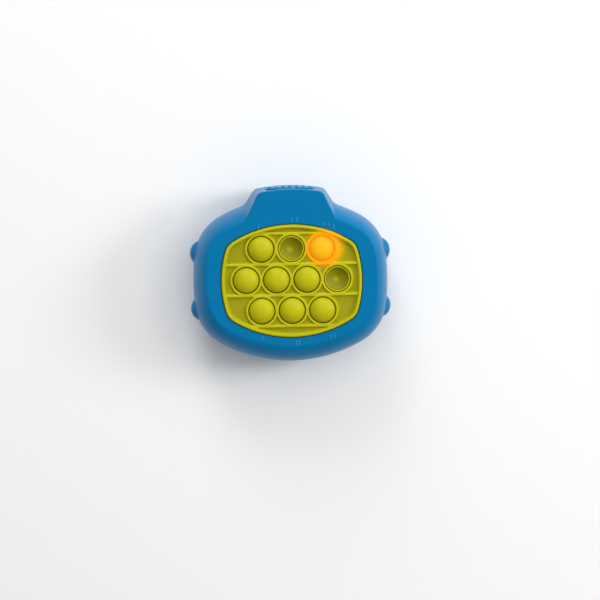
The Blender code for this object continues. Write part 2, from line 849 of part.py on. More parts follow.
def make_board():
    wells = [circle_points(place, well_radius, well_steps) for place in bubble_places()]
    frame_outline = rounded_outline(window, frame_margin)
    plate("light_frame", [frame_outline] + wells, board_top + fit_gap, flange_bottom - fit_gap,
          finish("frame white", white, 0.5))
    board = plate("circuit_board", [rounded_outline(window, board_margin)], board_bottom, board_top,
                  finish("board green", board_green, 0.4))
    ear = board_screw_x + board_boss_radius
    join(board, box("board_ears", (-ear, -board_ear_half_height, board_bottom),
                    (ear, board_ear_half_height, board_top)))
    join(board, box("board_tab", (-board_tab_half_width, 0, board_bottom),
                    (board_tab_half_width, switch_top, board_top)))
    hole = board_screw_radius + fit_gap
    for number, place in enumerate(board_screw_places, 1):
        cut(board, rod(f"board_hole_{number}", place, hole, 0, face_height, 10))
    chip_top = board_bottom - fit_gap
    edge = chip_height / 2
    blob = [(0, chip_top), (chip_radius, chip_top), (chip_radius - edge / 2, chip_top - edge),
            (chip_radius / 2, chip_top - chip_height), (0, chip_top - chip_height)]
    turned("sound_chip", blob, finish("chip black", black, 0.3), 16, (chip_x, chip_y, 0))


def make_speaker():
    low = wall + fit_gap
    back = low + speaker_depth
    rim = low + speaker_flange
    profile = [(0, back), (speaker_magnet_radius, back), (speaker_magnet_radius, rim),
               (speaker_radius, rim), (speaker_radius, low), (speaker_radius - speaker_flange, low),
               (speaker_magnet_radius / 2, rim), (0, rim)]
    turned("speaker", profile, finish("speaker grey", steel, 0.4, 0.8), 20, (0, speaker_y, 0))


def screw_profile(low, head_radius, head_height, shank_radius, top):
    # Head down, shank up; listed from the tip of the shank down to the head's flat end
    tip = shank_radius / 2
    return [(0, top), (tip, top), (shank_radius, top - tip), (shank_radius, low + head_height),
            (head_radius, low + head_height), (head_radius, low), (0, low)]


def make_screws(hinge):
    steel_finish = finish("screw steel", steel, 0.3, 1.0)
    for number, place in enumerate(case_post_places(), 1):
        profile = screw_profile(case_head_low, case_head_radius, case_head_height, case_screw_radius,
                                case_screw_top)
        turned(f"case_screw_{number}", profile, steel_finish, 10, (*place, 0))
    for number, place in enumerate(board_screw_places, 1):
        low = board_bottom - fit_gap - board_head_height
        profile = screw_profile(low, board_head_radius, board_head_height, board_screw_radius,
                                board_top + board_screw_reach)
        turned(f"board_screw_{number}", profile, steel_finish, 10, (*place, 0))
    top = door_head_height + fit_gap + door_screw_length
    profile = screw_profile(0, door_head_radius, door_head_height, door_screw_radius, top)
    place = (door_screw_x - hinge.location.x, 0, 0)
    turned("door_screw", profile, steel_finish, 12, place, hinge)


def make_hinge():
    # Stands on the line where the door's edge turns against the lip of its recess
    hinge = bpy.data.objects.new("battery_door_hinge", None)
    hinge.location = (-recess_half_length + fit_gap / 2, box_y, door_sink)
    hinge.parent = game_centre
    parts.objects.link(hinge)
    return hinge


def door_outline(grow):
    half_length = recess_half_length - fit_gap + grow
    half_width = recess_half_width - fit_gap + grow
    corner = door_corner + grow
    outline = []
    for quarter, (x, y) in enumerate(((1, 1), (-1, 1), (-1, -1), (1, -1))):
        centre = (x * (half_length - corner), box_y + y * (half_width - corner))
        start = quarter * math.pi / 2
        outline += arc(centre, corner, start, start + math.pi / 2, 4)
        outline.append((centre[0] + corner * math.cos(start + math.pi / 2),
                        centre[1] + corner * math.sin(start + math.pi / 2)))
    return outline


def make_battery_door(hinge):
    low = door_sink
    high = door_sink + door_thickness
    door = plate("battery_door", [door_outline(0)], low, high, finish("door blue", blue, 0.35))
    centre = (door_screw_x, box_y)
    join(door, rod("door_tongue", centre, door_tongue_radius, low, high, 20))
    tab_low = wall + fit_gap
    tab_high = tab_low + tab_thickness
    edge = -recess_half_length + fit_gap
    for number, side in enumerate((1, -1), 1):
        y = box_y + side * cell_offset
        web_low = (edge, y - tab_half_width, high - door_thickness / 2)
        join(door, box(f"tab_web_{number}", web_low, (edge + tab_web, y + tab_half_width, tab_high)))
        hook_low = (edge - tab_reach, y - tab_half_width, tab_low)
        join(door, box(f"tab_hook_{number}", hook_low, (edge + tab_web / 2, y + tab_half_width, tab_high)))
    sunk = low + door_head_height + fit_gap
    cut(door, rod("door_head_well", centre, door_head_radius + fit_gap, -cut_overrun, sunk))
    cut(door, rod("door_hole", centre, door_screw_radius + fit_gap, 0, high + cut_overrun, 12))
    # The door turns about the hinge, so its mesh is drawn from there
    door.parent = hinge
    for piece in [door] + [modifier.object for modifier in door.modifiers]:
        for vert in piece.data.vertices:
            vert.co.x -= hinge.location.x
            vert.co.y -= hinge.location.y
            vert.co.z -= hinge.location.z
        piece.parent = hinge
    return door


def make_cells():
    silver = finish("cell silver", cell_silver, 0.35, 0.6)
    negative = -box_half_length + fit_gap + contact_thickness + spring_length + fit_gap
    body_length = cell_length - cell_nub_length
    shoulder = cell_radius - cell_edge
    profile = [(0, cell_length), (cell_nub_radius, cell_length), (cell_nub_radius, body_length),
               (shoulder, body_length), (cell_radius, body_length - cell_edge), (cell_radius, cell_edge),
               (shoulder, 0), (0, 0)]
    for number, side in enumerate((1, -1), 1):
        cell = turned(f"cell_{number}", profile, silver, 20)
        cell.location = (side * negative, box_y + side * cell_offset, cell_height)
        cell.rotation_euler = (0, side * math.pi / 2, 0)


def spring_route(x, side, y):
    # A conical helix about the cell's axis, from its plate to the cell's flat end
    points = []
    count = spring_turns * spring_points_a_turn
    for step in range(count + 1):
        share = step / count
        turn = 2 * math.pi * step / spring_points_a_turn
        radius = spring_base_radius + (spring_tip_radius - spring_base_radius) * share
        along = spring_wire / 2 + share * (spring_length - 1.5 * spring_wire)
        points.append((x + side * along, y + radius * math.cos(turn), cell_height + radius * math.sin(turn)))
    return points


def least_gap(points, radius):
    # The clear distance between turns, measured from point to point
    nearest = min(
        math.dist(first, second)
        for index, first in enumerate(points)
        for second in points[index + spring_points_a_turn // 2:]
    )
    return nearest - 2 * radius


def tube(name, points, radius, resolution, material=None):
    curve = bpy.data.curves.new(name, "CURVE")
    curve.dimensions = "3D"
    curve.bevel_depth = radius
    curve.bevel_resolution = resolution
    curve.use_fill_caps = True
    spline = curve.splines.new("POLY")
    spline.points.add(len(points) - 1)
    for point, place in zip(spline.points, points):
        point.co = (*place, 1)
    if material is not None:
        curve.materials.append(material)
        run = bpy.data.objects.new(name, curve)
        run.parent = game_centre
        parts.objects.link(run)
        return run
    run = bpy.data.objects.new(name, curve)
    cutters.objects.link(run)
    bpy.context.view_layer.update()
    mesh = bpy.data.meshes.new_from_object(run.evaluated_get(bpy.context.evaluated_depsgraph_get()))
    bpy.data.objects.remove(run)
    shape = bmesh.new()
    shape.from_mesh(mesh)
    bmesh.ops.remove_doubles(shape, verts=shape.verts, dist=merge_distance)
    shape.to_mesh(mesh)
    shape.free()
    return add_piece(name, mesh)


def make_contacts():
    nickel = finish("contact nickel", steel, 0.25, 1.0)
    outer = box_half_length - fit_gap
    inner = outer - contact_thickness
    first = box_y + cell_offset
    second = box_y - cell_offset
    half_tag = contact_tag_width / 2
    tag_top = box_top + contact_tag_rise

    def left_plate(name, y):
        low = (-outer, y - contact_half_width, contact_low)
        sheet = box(name, low, (-inner, y + contact_half_width, contact_high), nickel)
        tag_low = (-outer, y - half_tag, cell_height)
        join(sheet, box(f"{name}_tag", tag_low, (-inner, y + half_tag, tag_top)))
        return sheet

    negative = left_plate("negative_contact", first)
    points = spring_route(-inner, 1, first)
    join(negative, tube("negative_spring", points, spring_wire, 1))
    positive = left_plate("positive_contact", second)
    root = inner + contact_thickness / 2
    join(positive, rod("positive_dimple", (second, cell_height), dimple_radius, -root,
                       -inner + dimple_length, 14, along="x"))
    bridge_low = (inner, second - contact_half_width, contact_low)
    bridge = box("bridge_contact", bridge_low, (outer, first + contact_half_width, contact_high), nickel)
    join(bridge, rod("bridge_dimple", (first, cell_height), dimple_radius, inner - dimple_length, root,
                     14, along="x"))
    join(bridge, tube("bridge_spring", spring_route(inner, -1, second), spring_wire, 1))
    print(f"least gap in a battery spring: {least_gap(points, spring_wire) * 1000:.2f} mm")


def bend(start, end, first_way, last_way):
    # A cubic curve that leaves along one way and arrives along another
    points = []
    for step in range(lead_points):
        share = step / (lead_points - 1)
        mix = ((1 - share) ** 3, 3 * share * (1 - share) ** 2, 3 * share**2 * (1 - share), share**3)
        handles = (start, [s + w for s, w in zip(start, first_way)], [e - w for e, w in zip(end, last_way)], end)
        points.append(tuple(sum(m * handle[axis] for m, handle in zip(mix, handles)) for axis in range(3)))
    return points


def make_leads():
    red_finish = finish("lead red", red, 0.4)
    black_finish = finish("lead black", black, 0.4)
    tag_x = -box_half_length + fit_gap + contact_thickness / 2
    tag_top = box_top + contact_tag_rise + fit_gap
    board_end = board_bottom - fit_gap
    up = (0, 0, (board_end - tag_top) / 2)
    for name, side, material in (("battery_lead_negative", 1, black_finish),
                                 ("battery_lead_positive", -1, red_finish)):
        y = box_y + side * cell_offset
        start = (tag_x, y, tag_top)
        end = (tag_x + lead_bend, y + side * lead_bend / 2, board_end)
        tube(name, bend(start, end, up, up), lead_radius, 2, material)
    magnet_back = wall + fit_gap + speaker_depth + fit_gap
    up = (0, 0, (board_end - magnet_back) / 2)
    for name, side, material in (("speaker_lead_positive", 1, red_finish),
                                 ("speaker_lead_negative", -1, black_finish)):
        start = (side * speaker_lead_spread, speaker_y, magnet_back)
        end = (side * speaker_lead_spread, speaker_y - lead_bend, board_end)
        tube(name, bend(start, end, up, up), lead_radius, 2, material)


make_front_shell()
make_rear_shell()
make_bubble_pad()
make_bubbles()
make_board()
make_power_button()
make_power_switch()
make_speaker()
door_hinge = make_hinge()
make_battery_door(door_hinge)
make_screws(door_hinge)
make_cells()
make_contacts()
make_leads()
bpy.context.view_layer.update()
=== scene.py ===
# Looks for a hand-held bubble pop game that lies on its back: smooth blue case, lime silicone
# pad with ten bubbles, and the small parts inside. Metres, +Z out of the face, +Y to the crown.
import math

import bmesh
import bpy
from mathutils import Matrix, Vector
from mathutils.geometry import delaunay_2d_cdt


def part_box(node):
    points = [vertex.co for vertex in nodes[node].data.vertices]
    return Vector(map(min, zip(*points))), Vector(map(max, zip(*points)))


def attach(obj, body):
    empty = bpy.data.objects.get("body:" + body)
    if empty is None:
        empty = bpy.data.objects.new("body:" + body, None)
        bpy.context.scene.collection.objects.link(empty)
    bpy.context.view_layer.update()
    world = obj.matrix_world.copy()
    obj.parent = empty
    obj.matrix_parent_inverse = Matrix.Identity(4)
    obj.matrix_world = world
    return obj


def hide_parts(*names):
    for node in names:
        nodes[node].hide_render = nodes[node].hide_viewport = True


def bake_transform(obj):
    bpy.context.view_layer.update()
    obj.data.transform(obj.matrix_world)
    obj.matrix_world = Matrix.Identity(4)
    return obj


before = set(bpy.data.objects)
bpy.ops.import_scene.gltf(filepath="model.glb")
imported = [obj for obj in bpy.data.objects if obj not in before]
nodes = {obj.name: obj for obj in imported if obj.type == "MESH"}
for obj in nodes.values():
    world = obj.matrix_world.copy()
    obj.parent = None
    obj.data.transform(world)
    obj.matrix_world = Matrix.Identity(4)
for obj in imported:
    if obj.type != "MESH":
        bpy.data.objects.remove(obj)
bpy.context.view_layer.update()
print("frame loaded:", len(nodes), "nodes")


def middle(node):
    low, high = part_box(node)
    return (low + high) / 2


# Levels and places that the frame gives
bubbleNames = [f"bubble_{number:02d}" for number in range(1, 11)]
pushedNames = ("bubble_02", "bubble_07")
litName = "bubble_03"
caseScrews = [f"case_screw_{number}" for number in range(1, 5)]
boardScrews = ["board_screw_1", "board_screw_2"]
padMiddle = (middle("bubble_04") + middle("bubble_07")) / 2
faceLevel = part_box("front_shell")[1].z
partingLevel = (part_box("front_shell")[0].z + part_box("rear_shell")[1].z) / 2
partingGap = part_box("front_shell")[0].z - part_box("rear_shell")[1].z
frontHeight = faceLevel - partingLevel
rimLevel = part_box("bubble_pad")[1].z
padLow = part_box("bubble_pad")[0].z
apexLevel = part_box("bubble_01")[1].z
fitGap = 0.0003
toolPast = 0.001        # how far a cutting tool reaches past a surface


# Small helpers. Shapes are drawn from the middle of the pad, and toWorld puts them in place

def addPiece(name, mesh, material=None):
    piece = bpy.data.objects.new(name, mesh)
    bpy.context.scene.collection.objects.link(piece)
    if material is not None:
        mesh.materials.clear()
        mesh.materials.append(material)
    return piece


def toWorld(point):
    return (point[0] + padMiddle.x, point[1] + padMiddle.y, point[2])


def padPlace(node):
    place = middle(node) - padMiddle
    return (place.x, place.y)


def shadeSoft(mesh, sharpDegrees=32):
    mesh.polygons.foreach_set("use_smooth", [True] * len(mesh.polygons))
    mesh.set_sharp_from_angle(angle=math.radians(sharpDegrees))
    mesh.update()


def applyModifiers(piece):
    bpy.context.view_layer.update()
    graph = bpy.context.evaluated_depsgraph_get()
    mesh = bpy.data.meshes.new_from_object(piece.evaluated_get(graph), depsgraph=graph)
    piece.modifiers.clear()
    piece.data = mesh


def settle(piece):  # leaves a plain mesh with the piece's name
    applyModifiers(piece)
    piece.data.name = piece.name
    shadeSoft(piece.data)


def facesOutward(mesh, mergeDistance=1e-7):
    shape = bmesh.new()
    shape.from_mesh(mesh)
    bmesh.ops.remove_doubles(shape, verts=shape.verts, dist=mergeDistance)
    bmesh.ops.dissolve_degenerate(shape, edges=shape.edges, dist=mergeDistance)
    bmesh.ops.recalc_face_normals(shape, faces=shape.faces)
    shape.to_mesh(mesh)
    shape.free()
    mesh.update()
    return mesh


def gridMesh(name, rings, closeUp=False, capped=False):
    # Rings of as many points each; closeUp joins the last ring to the first one
    count = len(rings[0])
    faces = []
    for ring in range(len(rings) if closeUp else len(rings) - 1):
        upper = (ring + 1) % len(rings)
        for step in range(count):
            after = (step + 1) % count
            faces.append((ring * count + step, ring * count + after, upper * count + after, upper * count + step))
    if capped:
        last = (len(rings) - 1) * count
        faces += [tuple(reversed(range(count))), tuple(range(last, last + count))]
    mesh = bpy.data.meshes.new(name)
    mesh.from_pydata([toWorld(point) for ring in rings for point in ring], [], faces)
    return facesOutward(mesh)


def turnsOf(steps):
    return [2 * math.pi * step / steps for step in range(steps)]


def onCircle(centre, radius, turn):
    return (centre[0] + radius * math.cos(turn), centre[1] + radius * math.sin(turn))


def quarter(count, start=1):  # a quarter round, as shares of its radius inward and up
    turns = [math.pi / 2 * step / count for step in range(start, count + 1)]
    return [(1 - math.cos(turn), math.sin(turn)) for turn in turns]


def turnedRings(profile, centre, steps):
    return [[(*onCircle(centre, radius, turn), height) for turn in turnsOf(steps)] for radius, height in profile]


def turnedMesh(name, profile, centre, steps=48):  # a profile from axis to axis, turned about Z
    return gridMesh(name, turnedRings(profile, centre, steps))


def joinedMesh(name, meshes):
    shape = bmesh.new()
    for mesh in meshes:
        shape.from_mesh(mesh)
        bpy.data.meshes.remove(mesh)
    joined = bpy.data.meshes.new(name)
    shape.to_mesh(joined)
    shape.free()
    return joined


def combine(piece, operation, *meshes):  # joins or cuts with each mesh in turn
    for mesh in meshes:
        tool = addPiece("tool", mesh)
        change = piece.modifiers.new("shape", "BOOLEAN")
        change.operation = operation
        change.solver = "EXACT"
        change.object = tool
        old = piece.data
        applyModifiers(piece)
        bpy.data.meshes.remove(old)
        bpy.data.objects.remove(tool)
        bpy.data.meshes.remove(mesh)


def boxMesh(name, y, across, sides, bevel=0.0):  # sides are its left, right, bottom and top
    left, right, bottom, top = sides
    low, high = (left, y - across, bottom), (right, y + across, top)
    shape = bmesh.new()
    bmesh.ops.create_cube(shape, size=1.0)
    span = [b - a for a, b in zip(low, high)]
    centre = toWorld([(a + b) / 2 for a, b in zip(low, high)])
    for vert in shape.verts:
        vert.co = Vector([vert.co[axis] * span[axis] + centre[axis] for axis in range(3)])
    if bevel:
        bmesh.ops.bevel(shape, geom=shape.edges[:], offset=bevel, segments=2, profile=0.5, affect="EDGES")
    mesh = bpy.data.meshes.new(name)
    shape.to_mesh(mesh)
    shape.free()
    return mesh


def plateMesh(name, outline, sections):  # an outline run through (level, grow) sections, closed at both ends
    rings = []
    for level, grow in sections:
        ring = []
        for number, (x, y) in enumerate(outline):
            before, after = outline[number - 1], outline[(number + 1) % len(outline)]
            along = Vector((after[0] - before[0], after[1] - before[1])).normalized()
            ring.append((x + along.y * grow, y - along.x * grow, level))
        rings.append(ring)
    return gridMesh(name, rings, capped=True)


def roundedBox(halfX, halfY, radius, centreY, steps=8):
    outline = []
    for number, (sideX, sideY) in enumerate(((1, 1), (-1, 1), (-1, -1), (1, -1))):
        for step in range(steps + 1):
            corner = (sideX * (halfX - radius), centreY + sideY * (halfY - radius))
            outline.append(onCircle(corner, radius, math.pi / 2 * (number + step / steps)))
    return outline


def circle(centre, radius, steps=32):
    return [onCircle(centre, radius, turn) for turn in turnsOf(steps)]


def rodMesh(name, centre, radius, low, high, steps=32):
    return plateMesh(name, circle(centre, radius, steps), ((low, 0.0), (high, 0.0)))


def holeSections(lead, top):  # a hole up from the back, with a chamfer at its mouth
    return ((-toolPast, lead + toolPast), (0.0, lead), (lead, 0.0), (top, 0.0))


# Nodes, for shapes and finishes alike

def plug(tree, value, socket):  # a socket, a list of sockets or a plain value
    if isinstance(value, (list, bpy.types.NodeSocket)):
        for output in value if isinstance(value, list) else [value]:
            tree.links.new(output, socket)
    else:
        socket.default_value = value


def addNode(tree, kind, inputs=None, **settings):  # makes a node, feeds its inputs and gives its outputs
    node = tree.nodes.new(kind)
    for name, value in settings.items():
        setattr(node, name, value)
    for name, value in (inputs or {}).items():
        plug(tree, value, node.inputs[name])
    return node.outputs


def firstOut(tree, kind, inputs=None, **settings):  # the same, for a node that is used by its first output
    return addNode(tree, kind, inputs, **settings)[0]


def figure(tree, operation, value, second=0.0):  # one step of arithmetic between sockets or numbers
    return firstOut(tree, "ShaderNodeMath", {0: value, 1: second}, operation=operation)


def times(tree, value, second):
    return figure(tree, "MULTIPLY", value, second)


def vectorOf(tree, x=0.0, y=0.0, z=0.0):
    return firstOut(tree, "ShaderNodeCombineXYZ", {"X": x, "Y": y, "Z": z})


def moved(tree, geometry, z):
    return firstOut(tree, "GeometryNodeTransform", {"Geometry": geometry, "Translation": vectorOf(tree, z=z)})


def newTree(name, sizes):
    tree = bpy.data.node_groups.new(name, "GeometryNodeTree")
    tree.interface.new_socket("Geometry", in_out="INPUT", socket_type="NodeSocketGeometry")
    tree.interface.new_socket("Geometry", in_out="OUTPUT", socket_type="NodeSocketGeometry")
    for label, value in sizes.items():
        kind = "NodeSocketInt" if isinstance(value, int) else "NodeSocketFloat"
        tree.interface.new_socket(label, in_out="INPUT", socket_type=kind).default_value = value
    return tree, tree.nodes.new("NodeGroupInput").outputs


def placeCopies(tree, given, shape, material, **onPoint):  # the shape on every point, made real and painted
    spots = firstOut(tree, "GeometryNodeMeshToPoints", {"Mesh": given["Geometry"]})
    copies = firstOut(tree, "GeometryNodeInstanceOnPoints", {"Points": spots, "Instance": shape, **onPoint})
    real = firstOut(tree, "GeometryNodeRealizeInstances", {"Geometry": copies})
    painted = firstOut(tree, "GeometryNodeSetMaterial", {"Geometry": real, "Material": material})
    plug(tree, painted, tree.nodes.new("NodeGroupOutput").inputs["Geometry"])


def growTree(name, points, tree, sizes, lengths=None):  # runs the tree on points and leaves a plain mesh
    mesh = bpy.data.meshes.new(name)
    mesh.from_pydata([toWorld(point) for point in points], [], [])
    if lengths is not None:
        mesh.attributes.new("length", "FLOAT", "POINT").data.foreach_set("value", lengths)
    piece = addPiece(name, mesh)
    modifier = piece.modifiers.new("grow", "NODES")
    modifier.node_group = tree
    for item in tree.interface.items_tree:
        if item.item_type == "SOCKET" and item.in_out == "INPUT" and item.name in sizes:
            modifier[item.identifier] = sizes[item.name]
    settle(piece)
    shadeSoft(facesOutward(piece.data))
    return piece


barSizes = {"points": 25, "blunt": 9.0}     # points along a bar, and how square its ends are


def makeBarTree(name, material):
    # A rounded bar on each point, as long as the point's own length says, laid along one axis
    tree, given = newTree(name, {"Width": 0.001, "Height": 0.0003, "Upright": 0, "Steps": 12})
    line = firstOut(tree, "GeometryNodeCurvePrimitiveLine", {"Start": (0, -0.5, 0), "End": (0, 0.5, 0)})
    parts = firstOut(tree, "GeometryNodeResampleCurve", {"Curve": line, "Count": barSizes["points"]})
    along = times(tree, firstOut(tree, "GeometryNodeSplineParameter"), 2.0)
    fromMiddle = figure(tree, "ABSOLUTE", figure(tree, "SUBTRACT", along, 1.0))
    taper = figure(tree, "POWER", fromMiddle, barSizes["blunt"])
    thick = figure(tree, "SQRT", figure(tree, "SUBTRACT", 1.0, taper))
    ring = firstOut(tree, "GeometryNodeCurvePrimitiveCircle", {"Resolution": given["Steps"], "Radius": 1.0})
    tube = firstOut(tree, "GeometryNodeCurveToMesh", {"Curve": parts, "Profile Curve": ring, "Scale": thick})
    length = addNode(tree, "GeometryNodeInputNamedAttribute", {"Name": "length"}, data_type="FLOAT")["Attribute"]
    half = times(tree, given["Width"], 0.5)
    placeCopies(tree, given, tube, material, Scale=vectorOf(tree, half, length, given["Height"]),
                Rotation=vectorOf(tree, times(tree, given["Upright"], math.pi / 2)))
    return tree


def makeBars(name, points, lengths, material, **sizes):
    return growTree(name, points, makeBarTree(name + "Tree", material), sizes, lengths)


# Finishes

def newFinish(name, colour, roughness, metallic=0.0, specular=0.5):
    material = bpy.data.materials.new(name)
    material.use_nodes = True
    shader = material.node_tree.nodes["Principled BSDF"].inputs
    shader["Base Color"].default_value = (*colour, 1)
    shader["Roughness"].default_value = roughness
    shader["Metallic"].default_value = metallic
    shader["Specular IOR Level"].default_value = specular
    return material, material.node_tree, shader


def objectPlace(tree):
    return addNode(tree, "ShaderNodeTexCoord")["Object"]


def partOf(tree, vector, axis):
    return addNode(tree, "ShaderNodeSeparateXYZ", {"Vector": vector})[axis]


def addGrain(tree, shader, place, scale, depth):  # a fine unevenness in the surface
    grain = firstOut(tree, "ShaderNodeTexNoise", {"Vector": place, "Scale": scale, "Detail": 2.0})
    bump = firstOut(tree, "ShaderNodeBump", {"Height": grain, "Strength": 1.0, "Distance": depth})
    plug(tree, bump, shader["Normal"])


def mapped(tree, value, low, high, start=0.0, end=1.0, kind="LINEAR"):
    return addNode(tree, "ShaderNodeMapRange", {"Value": value, "From Min": low, "From Max": high, "To Min": start,
                                                "To Max": end}, interpolation_type=kind)["Result"]


def mixed(tree, share, one, other, blend="MIX"):
    return addNode(tree, "ShaderNodeMix", {"Factor": share, "A": one, "B": other}, data_type="RGBA",
                   blend_type=blend)["Result"]


def colourRamp(tree, value, stops, interpolation="LINEAR"):  # stops are (place from 0 to 1, colour)
    node = tree.nodes.new("ShaderNodeValToRGB")
    plug(tree, value, node.inputs["Fac"])
    node.color_ramp.interpolation = interpolation
    places = node.color_ramp.elements
    places[1].position = stops[-1][0]
    places[0].position = stops[0][0]
    for position, colour in stops[1:-1]:
        places.new(position)
    for place, (position, colour) in zip(places, stops):
        place.position = position
        place.color = (*colour, 1)
    return node.outputs["Color"]


def toneRamp(tree, value, tones):  # a brightness from (place, level) pairs along the value that comes in
    low, high = tones[0][0], tones[-1][0]
    return colourRamp(tree, mapped(tree, value, low, high),
                      [((place - low) / (high - low), (level, level, level)) for place, level in tones])


def distanceFrom(tree, place, centre):  # distance in X and Y, in metres
    flat = firstOut(tree, "ShaderNodeVectorMath", {0: place, 1: (1, 1, 0)}, operation="MULTIPLY")
    ends = {0: flat, 1: (centre.x, centre.y, 0)}
    return addNode(tree, "ShaderNodeVectorMath", ends, operation="DISTANCE")["Value"]


def mottled(name, size):  # slight patches in the colour and the gloss, and a fine grain
    material, tree, shader = newFinish(name, size["colour"], size["roughness"], size.get("metallic", 0.0),
                                       size.get("specular", 0.5))
    place = objectPlace(tree)
    patches = firstOut(tree, "ShaderNodeTexNoise", {"Vector": place, "Scale": size["patchScale"], "Detail": 3.0})
    tint = colourRamp(tree, patches, [(position, [min(1.0, part * (1 + change)) for part in size["colour"]])
                                      for position, change in ((0.3, -size["spread"]), (0.7, size["spread"]))])
    plug(tree, tint, shader["Base Color"])
    rough, change = size["roughness"], size["roughSpread"]
    plug(tree, mapped(tree, patches, 0.0, 1.0, rough - change, rough + change), shader["Roughness"])
    addGrain(tree, shader, place, size["grainScale"], size["grainDepth"])
    return material, tree, shader, place, tint


caseFinish = {
    "colour": (0.0, 0.182, 0.412), "spread": 0.03, "patchScale": 60.0,
    "roughness": 0.29, "roughSpread": 0.03, "grainDepth": 0.000008, "grainScale": 5200.0, "specular": 0.12,
}


def makeCaseFinish(name="caseBlue", **changes):
    return mottled(name, {**caseFinish, **changes})[0]


# Finishes that differ only in their figures
finishKeys = ("colour", "roughness", "metallic", "spread", "patchScale", "grainDepth", "grainScale", "roughSpread")
plainFinishes = {
    "white": ((0.80, 0.80, 0.78), 0.45, 0.0, 0.02, 120.0, 0.00001, 3000.0, 0.04),
    "black": ((0.02, 0.02, 0.02), 0.42, 0.0, 0.25, 400.0, 0.00002, 4000.0, 0.04),
    "carbon": ((0.025, 0.025, 0.025), 0.75, 0.0, 0.30, 900.0, 0.00002, 8000.0, 0.04),
    "nickel": ((0.62, 0.61, 0.58), 0.24, 1.0, 0.05, 300.0, 0.000006, 7000.0, 0.04),
    "redLead": ((0.50, 0.02, 0.02), 0.38, 0.0, 0.08, 500.0, 0.00001, 6000.0, 0.04),
    "blackLead": ((0.02, 0.02, 0.022), 0.38, 0.0, 0.15, 500.0, 0.00001, 6000.0, 0.04),
    "screwZinc": ((0.60, 0.60, 0.60), 0.30, 1.0, 0.05, 260.0, 0.000006, 5000.0, 0.05),
}
finishes = {name: mottled(name, dict(zip(finishKeys, values)))[0] for name, values in plainFinishes.items()}

siliconeFinish = {
    "colour": (0.520, 0.492, 0.001), "spread": 0.03, "patchScale": 90.0,
    "roughness": 0.46, "roughSpread": 0.04, "grainDepth": 0.00001, "grainScale": 6500.0, "specular": 0.2,
    # how much of the colour shows at a height over the rim's top: painted shade darkens the deep grooves, the
    # recessed floor and the inner side of the rim, and painted highlight brightens the tops of the ribs and
    # collars
    "padShadeTones": ((-0.0030, 0.30), (-0.00175, 0.50), (-0.0016, 0.68), (-0.0013, 0.74), (-0.0009, 1.02),
                 (-0.00066, 1.10), (-0.0005, 0.72), (-0.00025, 0.76), (-0.00006, 1.0), (0.0, 1.04)),
    # below its groove a dome is turned in; painted shade darkens the groove and the turned-in wall, and it
    # brightens again towards the middle
    "domeShadeTones": ((-0.0045, 0.96), (-0.0038, 0.72), (-0.0028, 0.52), (-0.0021, 0.42), (-0.00185, 0.24),
                  (-0.0016, 0.26), (-0.00135, 0.55), (-0.0009, 0.92), (0.0002, 1.0), (0.0016, 1.03)),
    # the same for a bubble that is turned in at rest: painted shade in the bowl, painted highlight on the lip
    "bowlShadeTones": ((-0.0045, 1.0), (-0.0043, 0.94), (-0.0040, 0.70), (-0.0034, 0.53), (-0.0022, 0.54),
                  (-0.00178, 0.36), (-0.0015, 0.42), (-0.0013, 0.92), (-0.0011, 1.12), (0.0002, 1.0),
                  (0.0016, 1.03)),
    "glowColour": (0.60, 0.245, 0.0), "glowLight": (1.0, 0.40, 0.0), "glowStrength": 0.52,
    "glowShift": 0.0013, "glowInner": 0.0054, "glowOuter": 0.0100,
    # the lit bubble, by the share of its radius: how green the orange is
    "litTones": ((0.0, 0.60), (0.45, 0.58), (0.82, 0.50), (0.91, 0.40), (0.965, 0.27), (1.0, 0.50), (1.06, 0.30)),
    "litStrength": 0.46, "litBase": 0.5, "litLight": 0.9, "litBlue": 0.002,
}


def makeSilicone(name, tones, glowCentre=None):
    size = siliconeFinish
    material, tree, shader, place, tint = mottled(name, size)
    # painted shade and painted highlight by height, from the tones named
    tone = toneRamp(tree, partOf(tree, place, "Z"), [(rimLevel + height, level) for height, level in size[tones]])
    colour = mixed(tree, 1.0, tint, tone, "MULTIPLY")
    if glowCentre is not None:  # light that spreads through the pad from the lit bubble
        away = distanceFrom(tree, place, glowCentre + Vector((size["glowShift"], 0, 0)))
        fade = mapped(tree, away, size["glowInner"], size["glowOuter"], 1.0, 0.0, "SMOOTHSTEP")
        colour = mixed(tree, fade, colour, (*size["glowColour"], 1))
        plug(tree, times(tree, fade, size["glowStrength"]), shader["Emission Strength"])
        shader["Emission Color"].default_value = (*size["glowLight"], 1)
    plug(tree, colour, shader["Base Color"])
    return material


def makeLitSilicone(name, centre):  # orange light behind a thin wall, yellower towards the middle
    size = siliconeFinish
    material, tree, shader = newFinish(name, size["glowColour"], size["roughness"], specular=size["specular"])
    place = objectPlace(tree)
    green = toneRamp(tree, distanceFrom(tree, place, centre),
                     [(share * bubbleSizes["radius"], level) for share, level in size["litTones"]])
    for socket, red, share in (("Base Color", size["glowColour"][0], size["litBase"]),
                               ("Emission Color", 1.0, size["litLight"])):
        plug(tree, firstOut(tree, "ShaderNodeCombineColor", {
            "Red": red, "Green": times(tree, green, share), "Blue": size["litBlue"]}), shader[socket])
    shader["Emission Strength"].default_value = size["litStrength"]
    addGrain(tree, shader, place, size["grainScale"], size["grainDepth"])
    return material


# Camera, as far away as a long lens needs, straight over the pad with a slight tilt
cameraSizes = {
    "pixelSize": 0.00043,        # one pixel of the picture on the pad
    "framePixels": 600,
    "padPixel": (291.85, 279.97),
    "distance": 1.6,
    "tilt": math.radians(7.5),   # towards the crown
    "yaw": math.radians(-2.0),   # towards the left side
    "roll": math.radians(0.9),
    "sensor": 36.0,
}


